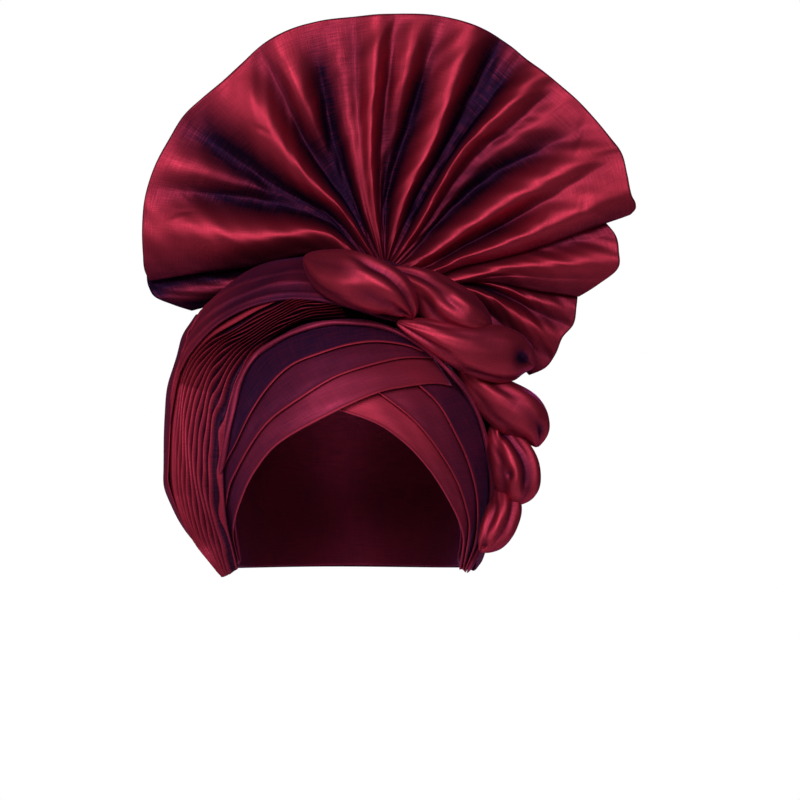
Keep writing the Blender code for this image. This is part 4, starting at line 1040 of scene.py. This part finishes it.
def make_cover():
    """The outer wrap: a front and a back, whose upper edges turn down into the slot round the fan."""
    for cover in COVERS:
        across = edge_spread(cover.columns, cover.side_fine)
        up = edge_spread(cover.rows, cover.up_fine)[:, None]
        turn = cover.turns[0] + (cover.turns[1] - cover.turns[0]) * across
        low = wrap_climb(read_table(cover.edge, turn))
        climb = low + (slot_climb(turn) - low) * up
        turn = turn + 0 * climb
        level = (climb - low) / (90 - low)
        lift = back_folds(across, up, level) if cover.name == "cover_back" else front_turns(turn, level)
        lift = lift + COVER_WAVE * ripple(across, level, COVER_WAVES)
        lip = ease(up, 1 - LIP_SHARE, 1.0) * slot_share(turn)
        raised = lift - LIP_DEPTH * lip ** 2
        skins = [wrap_point(turn, climb, raised), wrap_point(turn, climb, raised - WRAP_WALL)]
        for skin in skins:
            skin[..., 1] += lip * np.where(np.cos(np.radians(turn)) > 0, LIP_REACH_FRONT, -LIP_REACH_BACK)
        closing = (edge_round(up, cover.up_fine) * edge_round(across, 0.008))[..., None]
        middle = (skins[0] + skins[1]) / 2
        outer, inner = (middle + (skin - middle) * closing for skin in skins)
        u = np.append(0, np.cumsum(steps_along(outer[cover.rows // 2]))) + 0 * climb
        v = np.append(0, np.cumsum(steps_along(outer[:, len(across) // 2])))[:, None] + 0 * climb
        # Painted light on the front cover's strip beside the pleats, low down; painted shade between the
        # folds of the cloth and painted light on their tops.
        painted_light_by_pleats = bump(turn, PLEATED_END, 16) * (1 - ease(level, 0.3, 0.7))
        shot = COVER_SHOT - COVER_PAINTED_SHADE_PER_METRE * lift - 0.6 * painted_light_by_pleats
        piece = closed_cloth(cover.name, outer, inner, (u, v), shot)
        finish_piece(piece, "taffeta_wrap", [cover.node])


# Under-wrap: its lower edge by turn from the brow, in degrees, as a share of CROWN_RISE
CAP_EDGE = [(-180, -0.68), (-120, -0.68), (-80, -0.66), (-66, -0.62), (-64, -0.42), (-60, -0.28),
            (-52, -0.12), (-42, 0.06), (-28, 0.25), (-3, 0.44), (14, 0.35), (27, 0.21), (39, 0.04),
            (50, -0.14), (61, -0.31), (69, -0.44), (75, -0.62), (90, -0.66), (120, -0.68), (180, -0.68)]
CAP_CROWN = 0.995
CAP_LENGTH = 0.17
CAP_CLOSING = 0.012


def make_under_wrap():
    """An open dome on the head, from the brow line and the nape up to the crown."""
    turn = np.linspace(-180, 180, 160, endpoint=False)
    up = np.interp(turn, *np.transpose(CAP_EDGE))
    edge = np.where(up >= 0, np.arcsin(np.maximum(up, 0) ** (HEAD_FULLNESS / 2)) * 2 / np.pi,
                    np.maximum(up * CROWN_RISE / NAPE_DROP, -1.0))
    close = CAP_CLOSING * np.array([0.0, 0.1, 0.35, 0.7])
    share = np.append(close, np.linspace(CAP_CLOSING, 1, 50))[:, None]
    lift = edge + (CAP_CROWN - edge) * share
    turn = turn + 0 * lift
    closing = np.maximum(np.sqrt(1 - (1 - np.minimum(share / CAP_CLOSING, 1)) ** 2), 0.05) + 0 * lift
    outer = cap_point(turn, lift, CAP_WALL * (1 + closing) / 2)
    inner = cap_point(turn, lift, CAP_WALL * (1 - closing) / 2)
    weave = (HEAD_HALF_LENGTH * np.radians(turn), CAP_LENGTH * share + 0 * lift)
    piece = closed_cloth("under_wrap", outer, inner, weave, 0.5, ring=True)
    finish_piece(piece, "taffeta_wrap", ["cap_wrap"])


# Studio
STUDIO_MIDDLE = (0.02, 0, 0.12)
UNSEEN_PAPER = 0.05
SoftLight = namedtuple("SoftLight", "name place size power")
SOFT_LIGHTS = [
    SoftLight("key", (-0.5, -2.2, 1.1), (1.1, 0.9), 27), SoftLight("right", (1.0, -2.3, 1.0), (0.8, 0.8), 13),
    SoftLight("fill", (0.4, -2.6, -0.2), (1.2, 0.8), 3), SoftLight("side", (-1.9, -1.1, 0.5), (0.6, 0.9), 8),
    SoftLight("back", (0.6, 2.2, 1.2), (1.2, 1.0), 22),
]


def make_stage():
    """A plain pale floor."""
    bpy.ops.mesh.primitive_plane_add(size=2.0, location=(0.0, 0.45, -0.42))
    floor = bpy.context.object
    floor.name = "floor"
    pale = bpy.data.materials.new("pale_paper")
    pale.use_nodes = True
    shader = pale.node_tree.nodes["Principled BSDF"]
    shader.inputs["Base Color"].default_value = (0.85, 0.85, 0.85, 1)
    shader.inputs["Roughness"].default_value = 0.9
    floor.data.materials.append(pale)


def make_light(soft):
    lamp = bpy.data.lights.new(soft.name, "AREA")
    lamp.shape = "RECTANGLE"
    lamp.size, lamp.size_y = soft.size
    lamp.energy = soft.power
    light = bpy.data.objects.new(soft.name, lamp)
    light.location = soft.place
    east, north, up = (goal - start for goal, start in zip(STUDIO_MIDDLE, soft.place))
    light.rotation_euler = (math.pi / 2 + math.atan2(up, math.hypot(east, north)), 0,
                            math.atan2(north, east) - math.pi / 2)
    bpy.context.scene.collection.objects.link(light)


def make_studio():
    """White paper all round that the camera sees but that gives little light, and soft lights."""
    scene = bpy.context.scene
    world = bpy.data.worlds.new("studio")
    world.use_nodes = True
    tree = world.node_tree
    paper = tree.nodes["Background"]
    paper.inputs["Color"].default_value = (1, 1, 1, 1)
    seen = add_node(tree, "ShaderNodeLightPath", (-600, 0))
    strength = add_node(tree, "ShaderNodeMapRange", (-300, 0))
    strength.inputs["To Min"].default_value = UNSEEN_PAPER
    tree.links.new(seen.outputs["Is Camera Ray"], strength.inputs["Value"])
    tree.links.new(strength.outputs["Result"], paper.inputs["Strength"])
    scene.world = world
    scene.view_settings.view_transform = "Standard"
    for soft in SOFT_LIGHTS:
        make_light(soft)


def make_camera():
    """Level with the brow and square to it: the frame is 480 mm wide at the head's axis."""
    lens = bpy.data.cameras.new("camera")
    lens.lens, lens.sensor_width = 300, 36
    camera = bpy.data.objects.new("camera", lens)
    camera.location = (0.0318, -4.0, 0.042)
    camera.rotation_euler = (math.pi / 2, 0, 0)
    bpy.context.scene.collection.objects.link(camera)
    bpy.context.scene.camera = camera


make_camera()
make_under_wrap()
make_cover()
make_brow_layers()
make_rolled_edge()
make_side_pleats()
make_fan()
make_rope()
make_stage()
make_studio()
